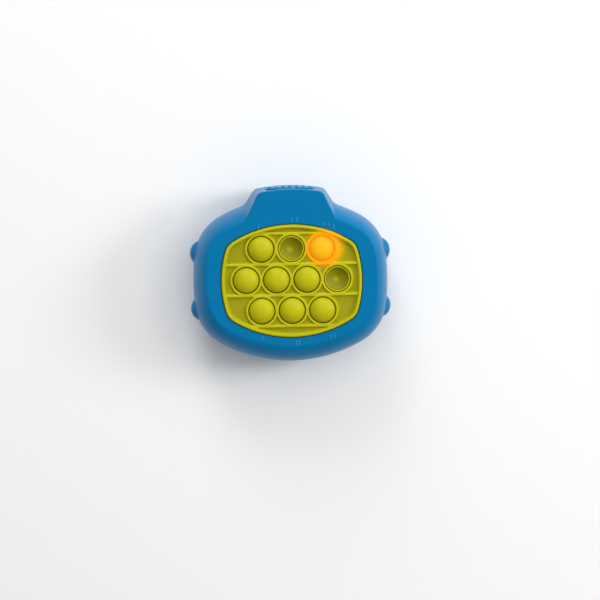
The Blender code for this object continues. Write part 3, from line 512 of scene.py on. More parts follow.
def makeCamera():
    size = cameraSizes
    data = bpy.data.cameras.new("pictureCamera")
    camera = bpy.data.objects.new("pictureCamera", data)
    bpy.context.scene.collection.objects.link(camera)
    back = Vector((math.sin(size["yaw"]), math.sin(size["tilt"]), math.cos(size["tilt"]))).normalized()
    right = Vector((0, 1, 0)).cross(back).normalized()
    turn = Matrix((right, back.cross(right), back)).transposed().to_4x4()
    turn = turn @ Matrix.Rotation(-size["roll"], 4, "Z")
    across, down = [(size["framePixels"] / 2 - pixel) * size["pixelSize"] for pixel in size["padPixel"]]
    target = Vector((padMiddle.x, padMiddle.y, rimLevel)) + turn.to_3x3() @ Vector((across, -down, 0))
    camera.matrix_world = Matrix.Translation(target + back * size["distance"]) @ turn
    data.sensor_width = size["sensor"]
    data.lens = size["sensor"] * size["distance"] / (size["framePixels"] * size["pixelSize"])
    data.clip_end = 20
    bpy.context.scene.camera = camera


# Soft studio light
lightSizes = {
    "worldLevel": 0.36,
    "zenithMirrored": 0.12,      # how bright the ceiling looks in a gloss, against 1 at the horizon
    "floorColour": (0.85, 0.85, 0.85), "floorSeen": (0.985, 0.985, 0.985),
    "floorRoughness": 0.9, "floorSize": 6.0, "grainScale": 900.0, "grainDepth": 0.00002,
    "lamps": {
        # place, size, watts
        "overheadBox": ((0.35, 0.80, 1.20), 1.5, 8.2),
        "crownStrip": ((-0.25, 1.10, 0.55), 0.5, 5.5),
        "rightBox": ((1.00, 0.25, 0.60), 0.35, 5.5),
        "frontFill": ((-0.25, -1.20, 0.70), 0.8, 0.6),
        "edgeLamp": ((0.75, 0.30, 1.05), 0.18, 1.1),
    },
}


def makeWorld():
    size = lightSizes
    world = bpy.data.worlds.new("studio")
    bpy.context.scene.world = world
    world.use_nodes = True
    tree = world.node_tree
    background = tree.nodes["Background"].inputs
    background["Color"].default_value = (1, 1, 1, 1)
    ray = addNode(tree, "ShaderNodeLightPath")
    seen = figure(tree, "MAXIMUM", ray["Is Camera Ray"], ray["Is Transmission Ray"])
    height = partOf(tree, addNode(tree, "ShaderNodeTexCoord")["Generated"], "Z")
    ceiling = mapped(tree, height, -0.05, 0.6, 1.0, size["zenithMirrored"], "SMOOTHSTEP")
    level = addNode(tree, "ShaderNodeMix", {"Factor": seen, "A": size["worldLevel"], "B": 1.0},
                    data_type="FLOAT")["Result"]
    mirrored = addNode(tree, "ShaderNodeMix", {"Factor": ray["Is Glossy Ray"], "A": level, "B": ceiling},
                       data_type="FLOAT")["Result"]
    plug(tree, mirrored, background["Strength"])


def makeLamps():
    for name, (place, width, watts) in lightSizes["lamps"].items():
        data = bpy.data.lights.new(name, "AREA")
        data.size = width
        data.energy = watts
        lamp = bpy.data.objects.new(name, data)
        bpy.context.scene.collection.objects.link(lamp)
        lamp.location = place
        lamp.rotation_euler = (Vector((0, 0, faceLevel)) - Vector(place)).to_track_quat("-Z", "Y").to_euler()


def makeFloor():
    size = lightSizes
    half = size["floorSize"] / 2
    mesh = bpy.data.meshes.new("floor")
    mesh.from_pydata([(-half, -half, 0), (half, -half, 0), (half, half, 0), (-half, half, 0)], [], [(0, 1, 2, 3)])
    material, tree, shader = newFinish("floorPaper", size["floorColour"], size["floorRoughness"], specular=0.1)
    addGrain(tree, shader, objectPlace(tree), size["grainScale"], size["grainDepth"])
    ray = addNode(tree, "ShaderNodeLightPath")
    seen = figure(tree, "MAXIMUM", ray["Is Camera Ray"], ray["Is Glossy Ray"])
    seen = figure(tree, "MAXIMUM", seen, ray["Is Transmission Ray"])
    plug(tree, mixed(tree, seen, (*size["floorColour"], 1), (*size["floorSeen"], 1)), shader["Base Color"])
    floor = addPiece("floor", mesh, material)


makeCamera()
makeWorld()
makeLamps()
makeFloor()
bpy.context.scene.view_settings.view_transform = "Standard"
print("camera and light made")


# Outlines: bowed ends and sides with a round corner between them, all on arcs

def outlineArcs(shape):  # centre, radius, first and last angle of the three arcs of one quarter
    endCentre = shape["halfHeight"] - shape["endRadius"]
    sideCentre = shape["halfWidth"] - shape["sideRadius"]
    toEnd = shape["endRadius"] - shape["cornerRadius"]
    toSide = shape["sideRadius"] - shape["cornerRadius"]
    apart = math.hypot(sideCentre, endCentre)
    along = (toEnd**2 - toSide**2 + apart**2) / (2 * apart)
    across = math.sqrt(toEnd**2 - along**2)
    unit = (sideCentre / apart, -endCentre / apart)
    corner = (along * unit[0] + across * unit[1], endCentre + along * unit[1] - across * unit[0])
    sideAngle = math.atan2(corner[1], corner[0] - sideCentre)
    endAngle = math.atan2(corner[1] - endCentre, corner[0])
    return (((sideCentre, 0.0), shape["sideRadius"], 0.0, sideAngle),
            (corner, shape["cornerRadius"], sideAngle, endAngle),
            ((0.0, endCentre), shape["endRadius"], endAngle, math.pi / 2))


def outlineRay(shape, angle, grow=0.0):  # where a ray from the middle meets the outline
    away = (abs(math.cos(angle)), abs(math.sin(angle)))
    steepness = math.atan2(away[1], away[0])
    for centre, radius, start, stop in outlineArcs(shape):
        grown = radius + grow
        end = onCircle(centre, grown, stop)
        if steepness <= math.atan2(end[1], end[0]) + 1e-9:
            break
    along = away[0] * centre[0] + away[1] * centre[1]
    reach = along + math.sqrt(along**2 - centre[0] ** 2 - centre[1] ** 2 + grown**2)
    return (reach * math.cos(angle), reach * math.sin(angle))


def windowPoint(angle, grow=0.0):
    x, y = outlineRay(windowSizes, angle, grow)
    return (x, y + windowSizes["shift"])


def smoothStep(value, low=0.0, high=1.0):
    share = min(1.0, max(0.0, (value - low) / (high - low)))
    return share * share * (3 - 2 * share)


def between(one, other, share):
    return one + (other - one) * share


def blendPoint(before, control, after, share):  # a round corner between two straight runs
    return tuple((1 - share) ** 2 * a + 2 * share * (1 - share) * b + share**2 * c
                 for a, b, c in zip(before, control, after))


# Case: two shells that meet at the parting line
windowSizes = {"halfWidth": 0.0306, "halfHeight": 0.0247, "endRadius": 0.0484, "sideRadius": 0.0473,
               "cornerRadius": 0.0077, "shift": -0.0005, "edge": 0.0003}
caseSizes = {
    "halfWidth": 0.04218, "halfHeight": 0.03558, "endRadius": 0.0620, "sideRadius": 0.0946, "cornerRadius": 0.0215,
    "bodyShift": -0.0018, "faceShift": -0.0003, "wall": 0.0020, "facePlate": 0.0020,
    "frontInset": 0.0053, "frontTurn": math.radians(70),
    "crease": 0.0006, "topCrease": 0.0020, "creaseFrom": 0.022, "creaseTo": 0.040,
    "softInset": 0.0074, "softTurn": math.radians(87), "softFrom": -0.004, "softTo": -0.026, "topSoftness": 0.55,
    "backInset": 0.0065, "backTurn": math.radians(75), "backCrease": 0.0030, "innerCrease": 0.0010,
    "lipRound": 0.00012, "steps": {"end": 26, "corner": 46, "side": 60, "junction": 8},
    # rings up or down the flank: first one, even steps, where those end, and how many closer ones follow
    "firstLevel": 0.0003, "levelStep": 0.00055, "frontRows": (0.0063, 12), "backRows": (0.0060, 10),
    # rings in the face, as shares of the way in, and inside the shells, as shares of the way up or down
    "faceRows": (0.04, 0.5, 0.96), "frontInner": (1.0, 0.96, 0.85, 0.7, 0.5, 0.25, 0.0),
    "backFloor": (1.0, 0.97, 0.9, 0.78, 0.6, 0.4, 0.2), "backInner": (1.0, 0.8, 0.6, 0.4, 0.2, 0.0),
    "backRound": 10, "seam": 0.0001, "bottomRows": (0.0004, 0.0040),
}
crownSizes = {
    "top": 0.0391, "topRadius": 0.080, "topHalf": 0.0138,
    "lean": math.radians(25.7), "baseLean": math.radians(32), "flare": 0.0010,
    "corner": 0.0018, "edge": 0.0004, "valley": 0.0020, "valleyAtFace": 0.0003,
    "backLevel": 0.0030, "backInset": 0.0039, "backTurn": math.radians(56.25), "backCrease": 0.0010,
    "steps": {"top": 12, "corner": 6, "side": 10, "valley": 5},
}
lobeSizes = {"place": 0.0121, "proud": 0.00205, "halfWidth": 0.0045, "halfHeight": 0.0052, "halfDepth": 0.0050,
             "blend": 0.0005}
crownMiddle = crownSizes["top"] - crownSizes["topRadius"]


def flankInset(rise, height, inset, turn, crease):
    # How far the flank leans in at a rise from the parting line: an ellipse, then a small round to the flat
    tall = height / math.sin(turn)
    wide = inset / (1 - math.cos(turn))
    slope = math.atan2(tall * math.cos(turn), wide * math.sin(turn))
    drop = max(0.0, height - rise)
    if drop < crease * (1 - math.cos(slope)):
        upright = 1 - drop / crease
        return inset + crease * math.tan(slope / 2) - crease * math.sqrt(max(0.0, 1 - upright**2))
    return wide * (1 - math.sqrt(1 - (rise / tall) ** 2))


def bodyColumns():  # centre, radius and angle of the right half, from the top end arc to the middle of the bottom
    side, corner, end = outlineArcs(caseSizes)
    steps = caseSizes["steps"]
    lowCorner, lowEnd = (corner[0][0], -corner[0][1]), (0.0, -end[0][1])
    found = []
    for centre, radius, start, stop, count in (
            (corner[0], corner[1], corner[3], corner[2], steps["corner"]),
            (side[0], side[1], side[3], -side[3], steps["side"]),
            (lowCorner, corner[1], -corner[2], -corner[3], steps["corner"]),
            (lowEnd, end[1], -end[2], -end[3], steps["end"])):
        found += [(centre, radius, start + (stop - start) * step / count) for step in range(count)]
    return found + [(lowEnd, end[1], -math.pi / 2)]


# The flank is softer low down and beside the crown, where its edge round the face is less distinct too
columns = bodyColumns()
softness, creases = [], []
for arcCentre, arcRadius, arcAngle in columns:
    columnX, columnY = onCircle(arcCentre, arcRadius, arcAngle)
    below = smoothStep(columnY, caseSizes["softFrom"], caseSizes["softTo"])
    beside = smoothStep(columnX, caseSizes["creaseTo"], caseSizes["creaseFrom"])
    softness.append(max(below, caseSizes["topSoftness"] * beside if columnY > 0 else 0.0))
    atSide = smoothStep(columnX, caseSizes["creaseFrom"], caseSizes["creaseTo"])
    creases.append(between(caseSizes["topCrease"], caseSizes["crease"], atSide))


def crownRun(sideShift, topGrow, lean):
    # The crown's right half at one level: its top arc, its corner, and where its leaning side starts
    size, steps = crownSizes, crownSizes["steps"]
    radius = size["topRadius"] + topGrow
    cornerY = crownMiddle + math.sqrt(size["topRadius"] ** 2 - size["topHalf"] ** 2)

    def sideX(y):
        return size["topHalf"] + (cornerY - y) * math.tan(lean) + sideShift

    def arcY(x):
        return crownMiddle + math.sqrt(radius**2 - x**2)

    y = cornerY + topGrow
    for _ in range(8):  # the sharp corner, found by stepping between the side and the arc
        y = arcY(sideX(y))
    sharp = (sideX(y), y)
    after = (sharp[0] + size["corner"] * math.sin(lean), sharp[1] - size["corner"] * math.cos(lean))
    before = (sharp[0] - size["corner"], arcY(sharp[0] - size["corner"]))
    turn = math.atan2(before[1] - crownMiddle, before[0])
    run = [onCircle((0.0, crownMiddle), radius, math.pi / 2 + (turn - math.pi / 2) * step / steps["top"])
           for step in range(steps["top"])]
    run += [blendPoint(before, sharp, after, step / steps["corner"]) for step in range(steps["corner"] + 1)]
    return run, sideX


def sideMeetsBody(sideX, radius, centreY):  # the crown's leaning side crosses the body's end arc
    atZero = sideX(0.0)
    slope = atZero - sideX(1.0)
    a = 1 + slope**2
    b = -2 * atZero * slope - 2 * centreY
    c = atZero**2 + centreY**2 - radius**2
    y = (-b + math.sqrt(b**2 - 4 * a * c)) / (2 * a)
    return (sideX(y), y)


def wholeRing(level, top, insets, shift):  # the top's right half, the columns below it, and their mirror image
    right = top + [onCircle((centre[0], centre[1] + shift), radius - inset, angle)
                   for (centre, radius, angle), inset in zip(columns, insets)]
    return [(x, y, level) for x, y in right + [(-x, y) for x, y in reversed(right[1:-1])]]


def caseRing(level, insets, shift, sideShift, topGrow, lean, valley=crownSizes["valley"]):
    # One turn round the case, from the middle of the crown's top, clockwise and back
    end = outlineArcs(caseSizes)[2]
    radius, centre = end[1] - insets[0], (0.0, end[0][1] + shift)
    right, sideX = crownRun(sideShift, topGrow, lean)
    meet = sideMeetsBody(sideX, radius, centre[1])
    valleyStart = (meet[0] - valley * math.sin(lean), meet[1] + valley * math.cos(lean))
    afterAngle = math.atan2(meet[1] - centre[1], meet[0]) - valley / radius
    valleyEnd = onCircle(centre, radius, afterAngle)
    steps, top = crownSizes["steps"], right[-1]
    for step in range(1, steps["side"]):
        right.append(tuple(between(a, b, step / steps["side"]) for a, b in zip(top, valleyStart)))
    right += [blendPoint(valleyStart, meet, valleyEnd, step / steps["valley"])
              for step in range(steps["valley"] + 1)]
    count = caseSizes["steps"]["junction"]
    right += [onCircle(centre, radius, afterAngle + (end[2] - afterAngle) * step / count)
              for step in range(1, count)]
    return wholeRing(level, right, insets, shift)


def roundRing(level, inset):
    # The body's own outline, with the crown's columns spread along its top end arc
    end, shift = outlineArcs(caseSizes)[2], caseSizes["bodyShift"]
    count = sum(crownSizes["steps"].values()) + caseSizes["steps"]["junction"]
    top = [onCircle((0.0, end[0][1] + shift), end[1] - inset, math.pi / 2 + (end[2] - math.pi / 2) * step / count)
           for step in range(count)]
    return wholeRing(level, top, [inset] * len(columns), shift)


def bulge(ring):  # pushes a ring out over the side lobes
    size = lobeSizes
    sagitta = caseSizes["sideRadius"] - math.sqrt(caseSizes["sideRadius"] ** 2 - size["place"] ** 2)
    middleX = caseSizes["halfWidth"] - sagitta + size["proud"] - size["halfWidth"]
    bulged = []
    for x, y, z in ring:
        for end in (1, -1):
            across = (y - caseSizes["bodyShift"] - end * size["place"]) / size["halfHeight"]
            left = 1 - across**2 - ((z - partingLevel) / size["halfDepth"]) ** 2
            if left > 0 and abs(x) > middleX - size["halfWidth"]:
                reach = middleX + size["halfWidth"] * math.sqrt(left)
                near = max(size["blend"] - abs(abs(x) - reach), 0.0)
                x = math.copysign(max(abs(x), reach) + near**2 / (4 * size["blend"]), x)
        bulged.append((x, y, z))
    return bulged


def crownFlare(share):  # shift and lean of the crown's sides, from the face (0) to the parting line (1)
    size = crownSizes
    slope = between(math.tan(size["lean"]), math.tan(size["baseLean"]), share)
    return size["flare"] / math.cos(size["baseLean"]) * share, math.atan(slope)


def frontFlankRing(rise, extra=0.0):
    size, crown = caseSizes, crownSizes
    insets = [flankInset(rise, frontHeight, between(size["frontInset"], size["softInset"], soft),
                         between(size["frontTurn"], size["softTurn"], soft), crease) + extra
              for soft, crease in zip(softness, creases)]
    leaning = flankInset(rise, frontHeight, size["frontInset"], size["frontTurn"], size["crease"])
    shift = between(size["bodyShift"], size["faceShift"], min(1.0, leaning / size["frontInset"]))
    edge, drop = crown["edge"], frontHeight - rise
    rounded = edge - math.sqrt(edge**2 - (edge - drop) ** 2) if drop < edge else 0.0
    flare, lean = crownFlare(drop / frontHeight)
    return caseRing(partingLevel + rise, insets, shift, flare - (rounded + extra) / math.cos(lean),
                    -rounded - extra, lean, between(crown["valleyAtFace"], crown["valley"], drop / frontHeight))


def frontInnerRing(share):  # share of the way up from the parting line to the face plate
    size, wall = caseSizes, caseSizes["wall"]
    height = frontHeight - size["facePlate"]
    inset = flankInset(height * share, height, size["frontInset"], size["frontTurn"], size["crease"] / 4)
    shift = between(size["bodyShift"], size["faceShift"], min(1.0, inset / size["frontInset"]))
    flare, lean = crownFlare(1 - share)
    return caseRing(partingLevel + max(height * share, partingGap / 2), [inset + wall] * len(columns), shift,
                    flare - wall / math.cos(lean), -wall, lean, crownSizes["valley"] / 2)


def flankLevels(evenEnd, count, top):  # even steps past the side lobes, then ever smaller ones up to the top
    found = [partingGap / 2 + caseSizes["firstLevel"]]
    while found[-1] + caseSizes["levelStep"] < evenEnd:
        found.append(found[-1] + caseSizes["levelStep"])
    return found + [between(found[-1], top, up) for inward, up in quarter(count)]


def lipRings(flankRing):  # the small round along the parting line
    lip, half = caseSizes["lipRound"], partingGap / 2
    return [flankRing(half, lip), flankRing(half + lip / 3, lip / 3), flankRing(half + lip)]


# Posts behind the face that the case screws and the board screws bite into
postSizes = {"postRadius": 0.0024, "postDrop": 0.0065, "pilot": 0.0014, "bossRadius": 0.0022, "bossPilot": 0.0010}


def frontPosts():
    size = postSizes
    posts = [rodMesh("post", padPlace(node), size["postRadius"], partingLevel + partingGap / 2,
                     faceLevel - size["postDrop"]) for node in caseScrews]
    posts += [rodMesh("boardPost", padPlace(node), size["bossRadius"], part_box("circuit_board")[1].z + fitGap,
                      faceLevel - caseSizes["facePlate"] / 2) for node in boardScrews]
    return joinedMesh("posts", posts)


def frontPilots():
    size = postSizes
    pilots = [rodMesh("pilot", padPlace(node), size["pilot"], partingLevel - toolPast,
                      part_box(node)[1].z + fitGap, 20) for node in caseScrews]
    return pilots + [rodMesh("boardPilot", padPlace(node), size["bossPilot"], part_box(node)[0].z,
                             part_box(node)[1].z + fitGap, 16) for node in boardScrews]


buttonSizes = {"halfLength": 0.0103, "halfHeight": 0.0040, "setback": 0.0080, "gap": fitGap, "edge": 0.0003,
               "proud": 0.0006, "ribProud": 0.0004, "ribSunk": 0.00005, "ribWidth": 0.0013, "ribCount": 7,
               "ribMargin": 0.0009, "depth": 0.0030, "capRows": (0.001, 0.002, 0.003, 0.0036), "roughness": 0.30}
buttonLevel = faceLevel - buttonSizes["setback"]


def slotOutline(halfLength, halfHeight, steps=14):
    right = [onCircle((halfLength - halfHeight, 0.0), halfHeight, -math.pi / 2 + math.pi * step / steps)
             for step in range(steps + 1)]
    return right + [(-x, -y) for x, y in right]


def slotMesh():  # the opening in the crown's top for the button, with a small lead-in
    size, top, edge = buttonSizes, crownSizes["top"], buttonSizes["edge"]
    sag = crownSizes["topRadius"] - math.sqrt(crownSizes["topRadius"] ** 2 - size["halfLength"] ** 2)
    rings = []
    for y, grow in ((top - 3 * caseSizes["wall"], 0.0), (top - sag - edge, 0.0), (top + edge, edge),
                    (top + 5 * edge, 2 * edge)):
        outline = slotOutline(size["halfLength"] + size["gap"] + grow, size["halfHeight"] + size["gap"] + grow)
        rings.append([(x, y, buttonLevel + z) for x, z in outline])
    return gridMesh("slot", rings, capped=True)


def makeFrontShell():
    size, edge = caseSizes, crownSizes["edge"]
    upper = frontHeight - edge
    rings = lipRings(frontFlankRing) + [frontFlankRing(rise) for rise in flankLevels(*size["frontRows"], upper)]
    rings += [frontFlankRing(upper + edge * up) for inward, up in quarter(7)]
    rings = [bulge(ring) for ring in rings]
    face = rings[-1]
    angles = [math.atan2(y - windowSizes["shift"], x) for x, y, z in face]

    def windowRing(level, grow):
        return [(*windowPoint(angle, grow), level) for angle in angles]

    edge = windowSizes["edge"]
    rim = windowRing(faceLevel, edge)
    for share in size["faceRows"]:
        rings.append([tuple(between(a, b, share) for a, b in zip(outer, inner))
                      for outer, inner in zip(face, rim)])
    rings += [windowRing(faceLevel - edge * inward, edge * (1 - up)) for inward, up in quarter(4, 0)]
    rings += [windowRing(faceLevel - size["facePlate"] * share, 0.0) for share in (0.5, 1.0)]
    rings += [frontInnerRing(share) for share in size["frontInner"]]
    shell = addPiece("frontShell", gridMesh("frontShell", rings, closeUp=True), makeCaseFinish())
    combine(shell, "UNION", frontPosts())
    combine(shell, "DIFFERENCE", joinedMesh("openings", [slotMesh()] + frontPilots()))
    settle(shell)
    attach(shell, "case")
    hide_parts("front_shell")
    print("front shell made:", len(shell.data.polygons), "faces")


makeFrontShell()

# Raised tally strokes round the window, a lighter blue than the case as a painted highlight on their raised edges
tickSizes = {
    "width": 0.00060, "height": 0.00026, "sunk": 0.00002, "colour": (0.020, 0.300, 0.540), "roughness": 0.25,
    # place in X and Y on the face, length
    "places": ((-0.0139, 0.0230, 0.0017), (0.0004, 0.0258, 0.0018), (0.0026, 0.0259, 0.0020),
               (0.0141, 0.0240, 0.0016), (0.0163, 0.0235, 0.0018), (0.0183, 0.0226, 0.0019),
               (-0.0131, -0.0253, 0.0020), (0.0017, -0.0274, 0.0025), (0.0029, -0.0274, 0.0025),
               (0.0166, -0.0252, 0.0023), (0.0181, -0.0248, 0.0023)),
}


def makeTicks():
    size = tickSizes
    ticks = makeBars("windowTicks", [(x, y, faceLevel - size["sunk"]) for x, y, length in size["places"]],
                     [length for x, y, length in size["places"]],
                     # the lighter blue is a painted highlight
                     makeCaseFinish("tickHighlightBlue", roughness=size["roughness"], colour=size["colour"]),
                     Width=size["width"], Height=size["height"], Upright=0, Steps=14)
    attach(ticks, "case")
    print("ticks made:", len(ticks.data.polygons), "faces")


makeTicks()


def makeButton():  # bowed cap with upright ribs, in the opening in the crown's top
    size, edge, proud = buttonSizes, buttonSizes["edge"], buttonSizes["proud"]
    finish = makeCaseFinish("buttonBlue", roughness=size["roughness"])

    def capRing(inset, lift):
        radius = crownSizes["topRadius"] + lift
        outline = slotOutline(size["halfLength"] - inset, size["halfHeight"] - inset, 20)
        return [(x, crownMiddle + math.sqrt(radius**2 - x**2), buttonLevel + z) for x, z in outline]

    rings = [capRing(0.0, -size["depth"]), capRing(0.0, proud - edge)]
    rings += [capRing(edge * inward, proud - edge + edge * up) for inward, up in quarter(4)]
    rings += [capRing(inset, proud) for inset in size["capRows"]]
    cap = addPiece("buttonCap", gridMesh("buttonCap", rings, capped=True), finish)
    shadeSoft(cap.data)
    reach = size["halfLength"] - size["ribMargin"] - size["ribWidth"] / 2
    points, lengths = [], []
    for number in range(size["ribCount"]):
        x = reach * (2 * number / (size["ribCount"] - 1) - 1)
        past = max(0.0, abs(x) + size["ribWidth"] / 2 - (size["halfLength"] - size["halfHeight"]))
        half = math.sqrt(max(0.0, size["halfHeight"] ** 2 - past**2)) - size["ribMargin"]
        y = crownMiddle + math.sqrt((crownSizes["topRadius"] + proud) ** 2 - x**2)
        points.append((x, y - size["ribSunk"], buttonLevel))
        lengths.append(2 * max(half, size["ribWidth"]))
    ribs = makeBars("buttonRibs", points, lengths, finish, Width=size["ribWidth"],
                    Height=size["ribProud"] + size["ribSunk"], Upright=1, Steps=16)
    for piece in (cap, ribs):
        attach(piece, "power_button")
        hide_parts("power_button")
    print("button made")


makeButton()

batterySizes = {
    "boxOuter": (0.0273, 0.0129), "boxRound": 0.0015, "boxEdge": 0.0003, "boxTop": 0.0138,
    "space": (0.0255, 0.0111), "spaceRound": 0.0006, "ceiling": 0.0129,
    "recess": (0.0264, 0.0120), "recessRound": 0.0023, "recessDepth": 0.0021,
    "tongue": 0.0035, "tonguePlace": 0.0283, "lead": 0.0003,
    "bossRadius": 0.0026, "bossTop": 0.0080, "pilot": 0.0015, "pilotTop": 0.0058,
    "tabAcross": 0.0018, "tabSlot": (-0.0291, -0.02505, 0.0020, 0.0048),
    "tagAcross": 0.0011, "tagSlot": (-0.0255, -0.0245, 0.0124, 0.0150),
}
wellSizes = {"radius": 0.0023, "depth": 0.0053, "shank": 0.0014, "boss": 0.0033}
speakerSizes = {"place": (0.0, 0.0140), "hole": 0.0008, "ring": 0.0040, "holes": 6, "ringOuter": 0.0111,
                "seat": 0.0101, "seatTop": 0.0060, "lead": 0.0002}
screwPlaces = [padPlace(name) for name in caseScrews]
cellYs = [padPlace("cell_1")[1], padPlace("cell_2")[1]]
boxY = sum(cellYs) / 2
tonguePlace = (batterySizes["tonguePlace"], boxY)


def rearBosses():
    size, horn, floor = batterySizes, speakerSizes, caseSizes["wall"] / 2
    box = plateMesh("box", roundedBox(*size["boxOuter"], size["boxRound"], boxY), (
        (floor, 0.0), (size["boxTop"] - size["boxEdge"], 0.0), (size["boxTop"], -size["boxEdge"])))
    doorBoss = rodMesh("doorBoss", tonguePlace, size["bossRadius"], floor, size["bossTop"])
    bosses = [rodMesh("boss", place, wellSizes["boss"], floor, partingLevel - partingGap / 2)
              for place in screwPlaces]
    ring = gridMesh("ring", turnedRings([
        (horn["ringOuter"], floor), (horn["ringOuter"], horn["seatTop"]), (horn["seat"], horn["seatTop"]),
        (horn["seat"], floor)], horn["place"], 64), closeUp=True)
    return [box, doorBoss, joinedMesh("bosses", bosses + [ring])]


def rearHoles():
    size, well, horn, lead = batterySizes, wellSizes, speakerSizes, batterySizes["lead"]
    sections = holeSections(lead, size["recessDepth"])
    made = [plateMesh("recess", roundedBox(*size["recess"], size["recessRound"], boxY), sections),
            plateMesh("tongueRecess", circle(tonguePlace, size["tongue"], 48), sections),
            plateMesh("space", roundedBox(*size["space"], size["spaceRound"], boxY),
                      ((toolPast, 0.0), (size["ceiling"], 0.0)))]
    wide, shank, top = well["radius"], well["shank"], partingLevel + toolPast
    profile = [(0, -toolPast), (wide + lead + toolPast, -toolPast), (wide + lead, 0.0), (wide, lead),
               (wide, well["depth"]), (shank, well["depth"]), (shank, top), (0, top)]
    singles = [rodMesh("pilot", tonguePlace, size["pilot"], toolPast, size["pilotTop"])]
    singles += [turnedMesh("well", profile, place, 40) for place in screwPlaces]
    singles += [plateMesh("soundHole", circle(place, horn["hole"], 20),
                          holeSections(horn["lead"], caseSizes["wall"] + toolPast))
                for place in [horn["place"]] + circle(horn["place"], horn["ring"], horn["holes"])]
    slots = [boxMesh(name, y, size[across], size[name])
             for y in cellYs for name, across in (("tabSlot", "tabAcross"), ("tagSlot", "tagAcross"))]
    return made + [joinedMesh("singles", singles), joinedMesh("slots", slots)]


def makeRearShell():
    size, crown, floor, half = caseSizes, crownSizes, caseSizes["wall"], partingGap / 2
    crownDepth = partingLevel - crown["backLevel"]
    crownFloor = crown["backLevel"] + floor
    flare, lean = crownFlare(1)

    def leaning(depth, height=partingLevel, crease=size["backCrease"]):
        return flankInset(depth, height, size["backInset"], size["backTurn"], crease)

    def inside(depth):
        return leaning(depth, partingLevel - floor, size["innerCrease"]) + floor

    def crownedRing(level, inset, drawn, valley):
        return caseRing(level, [inset] * len(columns), size["bodyShift"], flare - drawn / math.cos(lean), -drawn,
                        lean, valley)

    def flankRing(depth, extra=0.0):
        drawn = flankInset(min(depth, crownDepth), crownDepth, crown["backInset"], crown["backTurn"],
                           crown["backCrease"]) + extra
        return bulge(crownedRing(partingLevel - depth, leaning(depth) + extra, drawn, crown["valley"]))

    rings = lipRings(flankRing) + [flankRing(depth) for depth in flankLevels(*size["backRows"], crownDepth)]
    for inward, up in quarter(size["backRound"], 0):
        depth = between(crownDepth + size["seam"], partingLevel, up)
        rings.append(roundRing(partingLevel - depth, leaning(depth)))
    rings += [roundRing(0.0, leaning(partingLevel) + extra) for extra in size["bottomRows"]]
    inner = []
    for depth in [(partingLevel - floor) * share for share in size["backFloor"]]:
        if partingLevel - depth < crownFloor - 2 * size["seam"]:
            inner.append(roundRing(partingLevel - depth, inside(depth)))
    inner.append(roundRing(crownFloor - size["seam"], inside(partingLevel - crownFloor)))
    for share in size["backInner"]:
        level = max(between(partingLevel - half, crownFloor, share), crownFloor)
        drawn = crown["backInset"] * share**2 + floor
        inner.append(crownedRing(level, inside(partingLevel - level), drawn, crown["valley"] / 2))
    shell = addPiece("rearShell", gridMesh("rearShell", inner + rings, capped=True), makeCaseFinish())
    combine(shell, "UNION", *rearBosses())
    combine(shell, "DIFFERENCE", *rearHoles())
    settle(shell)
    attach(shell, "case")
    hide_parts("rear_shell")
    print("rear shell made:", len(shell.data.polygons), "faces")


makeRearShell()

# Battery door with its two hooks and a well for its captive screw
doorSizes = {
    "half": (0.0261, 0.0117), "corner": 0.0020, "tongue": 0.0032,
    "outside": 0.0002, "inside": 0.0018, "edge": 0.00025,
    "well": 0.0021, "wellTop": 0.0012, "wellLead": 0.0002, "wellMouth": 0.0033, "hole": 0.0014,
    "tongueSteps": 30, "roughness": 0.32,
    "web": (-0.0261, -0.0246, 0.0010, 0.0033), "hook": (-0.0282, -0.02535, 0.0023, 0.0033), "across": 0.0015,
    "tabEdge": 0.00015,
    "grips": 7, "gripStart": -0.0205, "gripPitch": 0.0016, "gripWidth": 0.0008, "gripHeight": 0.00016,
    "gripLength": 0.0120, "gripFall": 0.6, "gripSunk": 0.00002,
}


def doorOutline():
    size = doorSizes
    turn = math.acos((size["half"][0] - tonguePlace[0]) / size["tongue"])
    return roundedBox(*size["half"], size["corner"], boxY) + [
        onCircle(tonguePlace, size["tongue"], -turn + 2 * turn * step / size["tongueSteps"])
        for step in range(size["tongueSteps"] + 1)]


def makeDoor():
    size, edge, low, high = doorSizes, doorSizes["edge"], doorSizes["outside"], doorSizes["inside"]
    finish = makeCaseFinish("doorBlue", roughness=size["roughness"])
    sections = [(low + edge * inward, -edge * (1 - up)) for inward, up in quarter(4, 0)]
    sections += [(high - edge / 2, 0.0), (high, -edge / 2)]
    door = addPiece("batteryDoor", plateMesh("batteryDoor", doorOutline(), sections), finish)
    combine(door, "UNION", *[boxMesh(name, y, size["across"], size[name], size["tabEdge"])
                             for y in cellYs for name in ("web", "hook")])
    wide, lead, hole = size["well"], size["wellLead"], size["hole"]
    combine(door, "DIFFERENCE", turnedMesh("doorWell", [
        (0, -toolPast), (size["wellMouth"], -toolPast), (wide + lead, low), (wide, low + lead),
        (wide, size["wellTop"]), (hole, size["wellTop"]), (hole, high + toolPast), (0, high + toolPast)],
        tonguePlace, 48))
    settle(door)
    numbers = range(size["grips"])
    grips = makeBars(
        "doorGrips",
        [(size["gripStart"] + number * size["gripPitch"], boxY, low + size["gripSunk"]) for number in numbers],
        [size["gripLength"] * math.sqrt(1 - (2 * number / (size["grips"] - 1) - 1) ** 2 * size["gripFall"])
         for number in numbers],
        finish, Width=size["gripWidth"], Height=size["gripHeight"], Upright=0, Steps=16)
    for piece in (door, grips):
        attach(piece, "battery_door")
        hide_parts("battery_door")
    print("battery door made")


makeDoor()

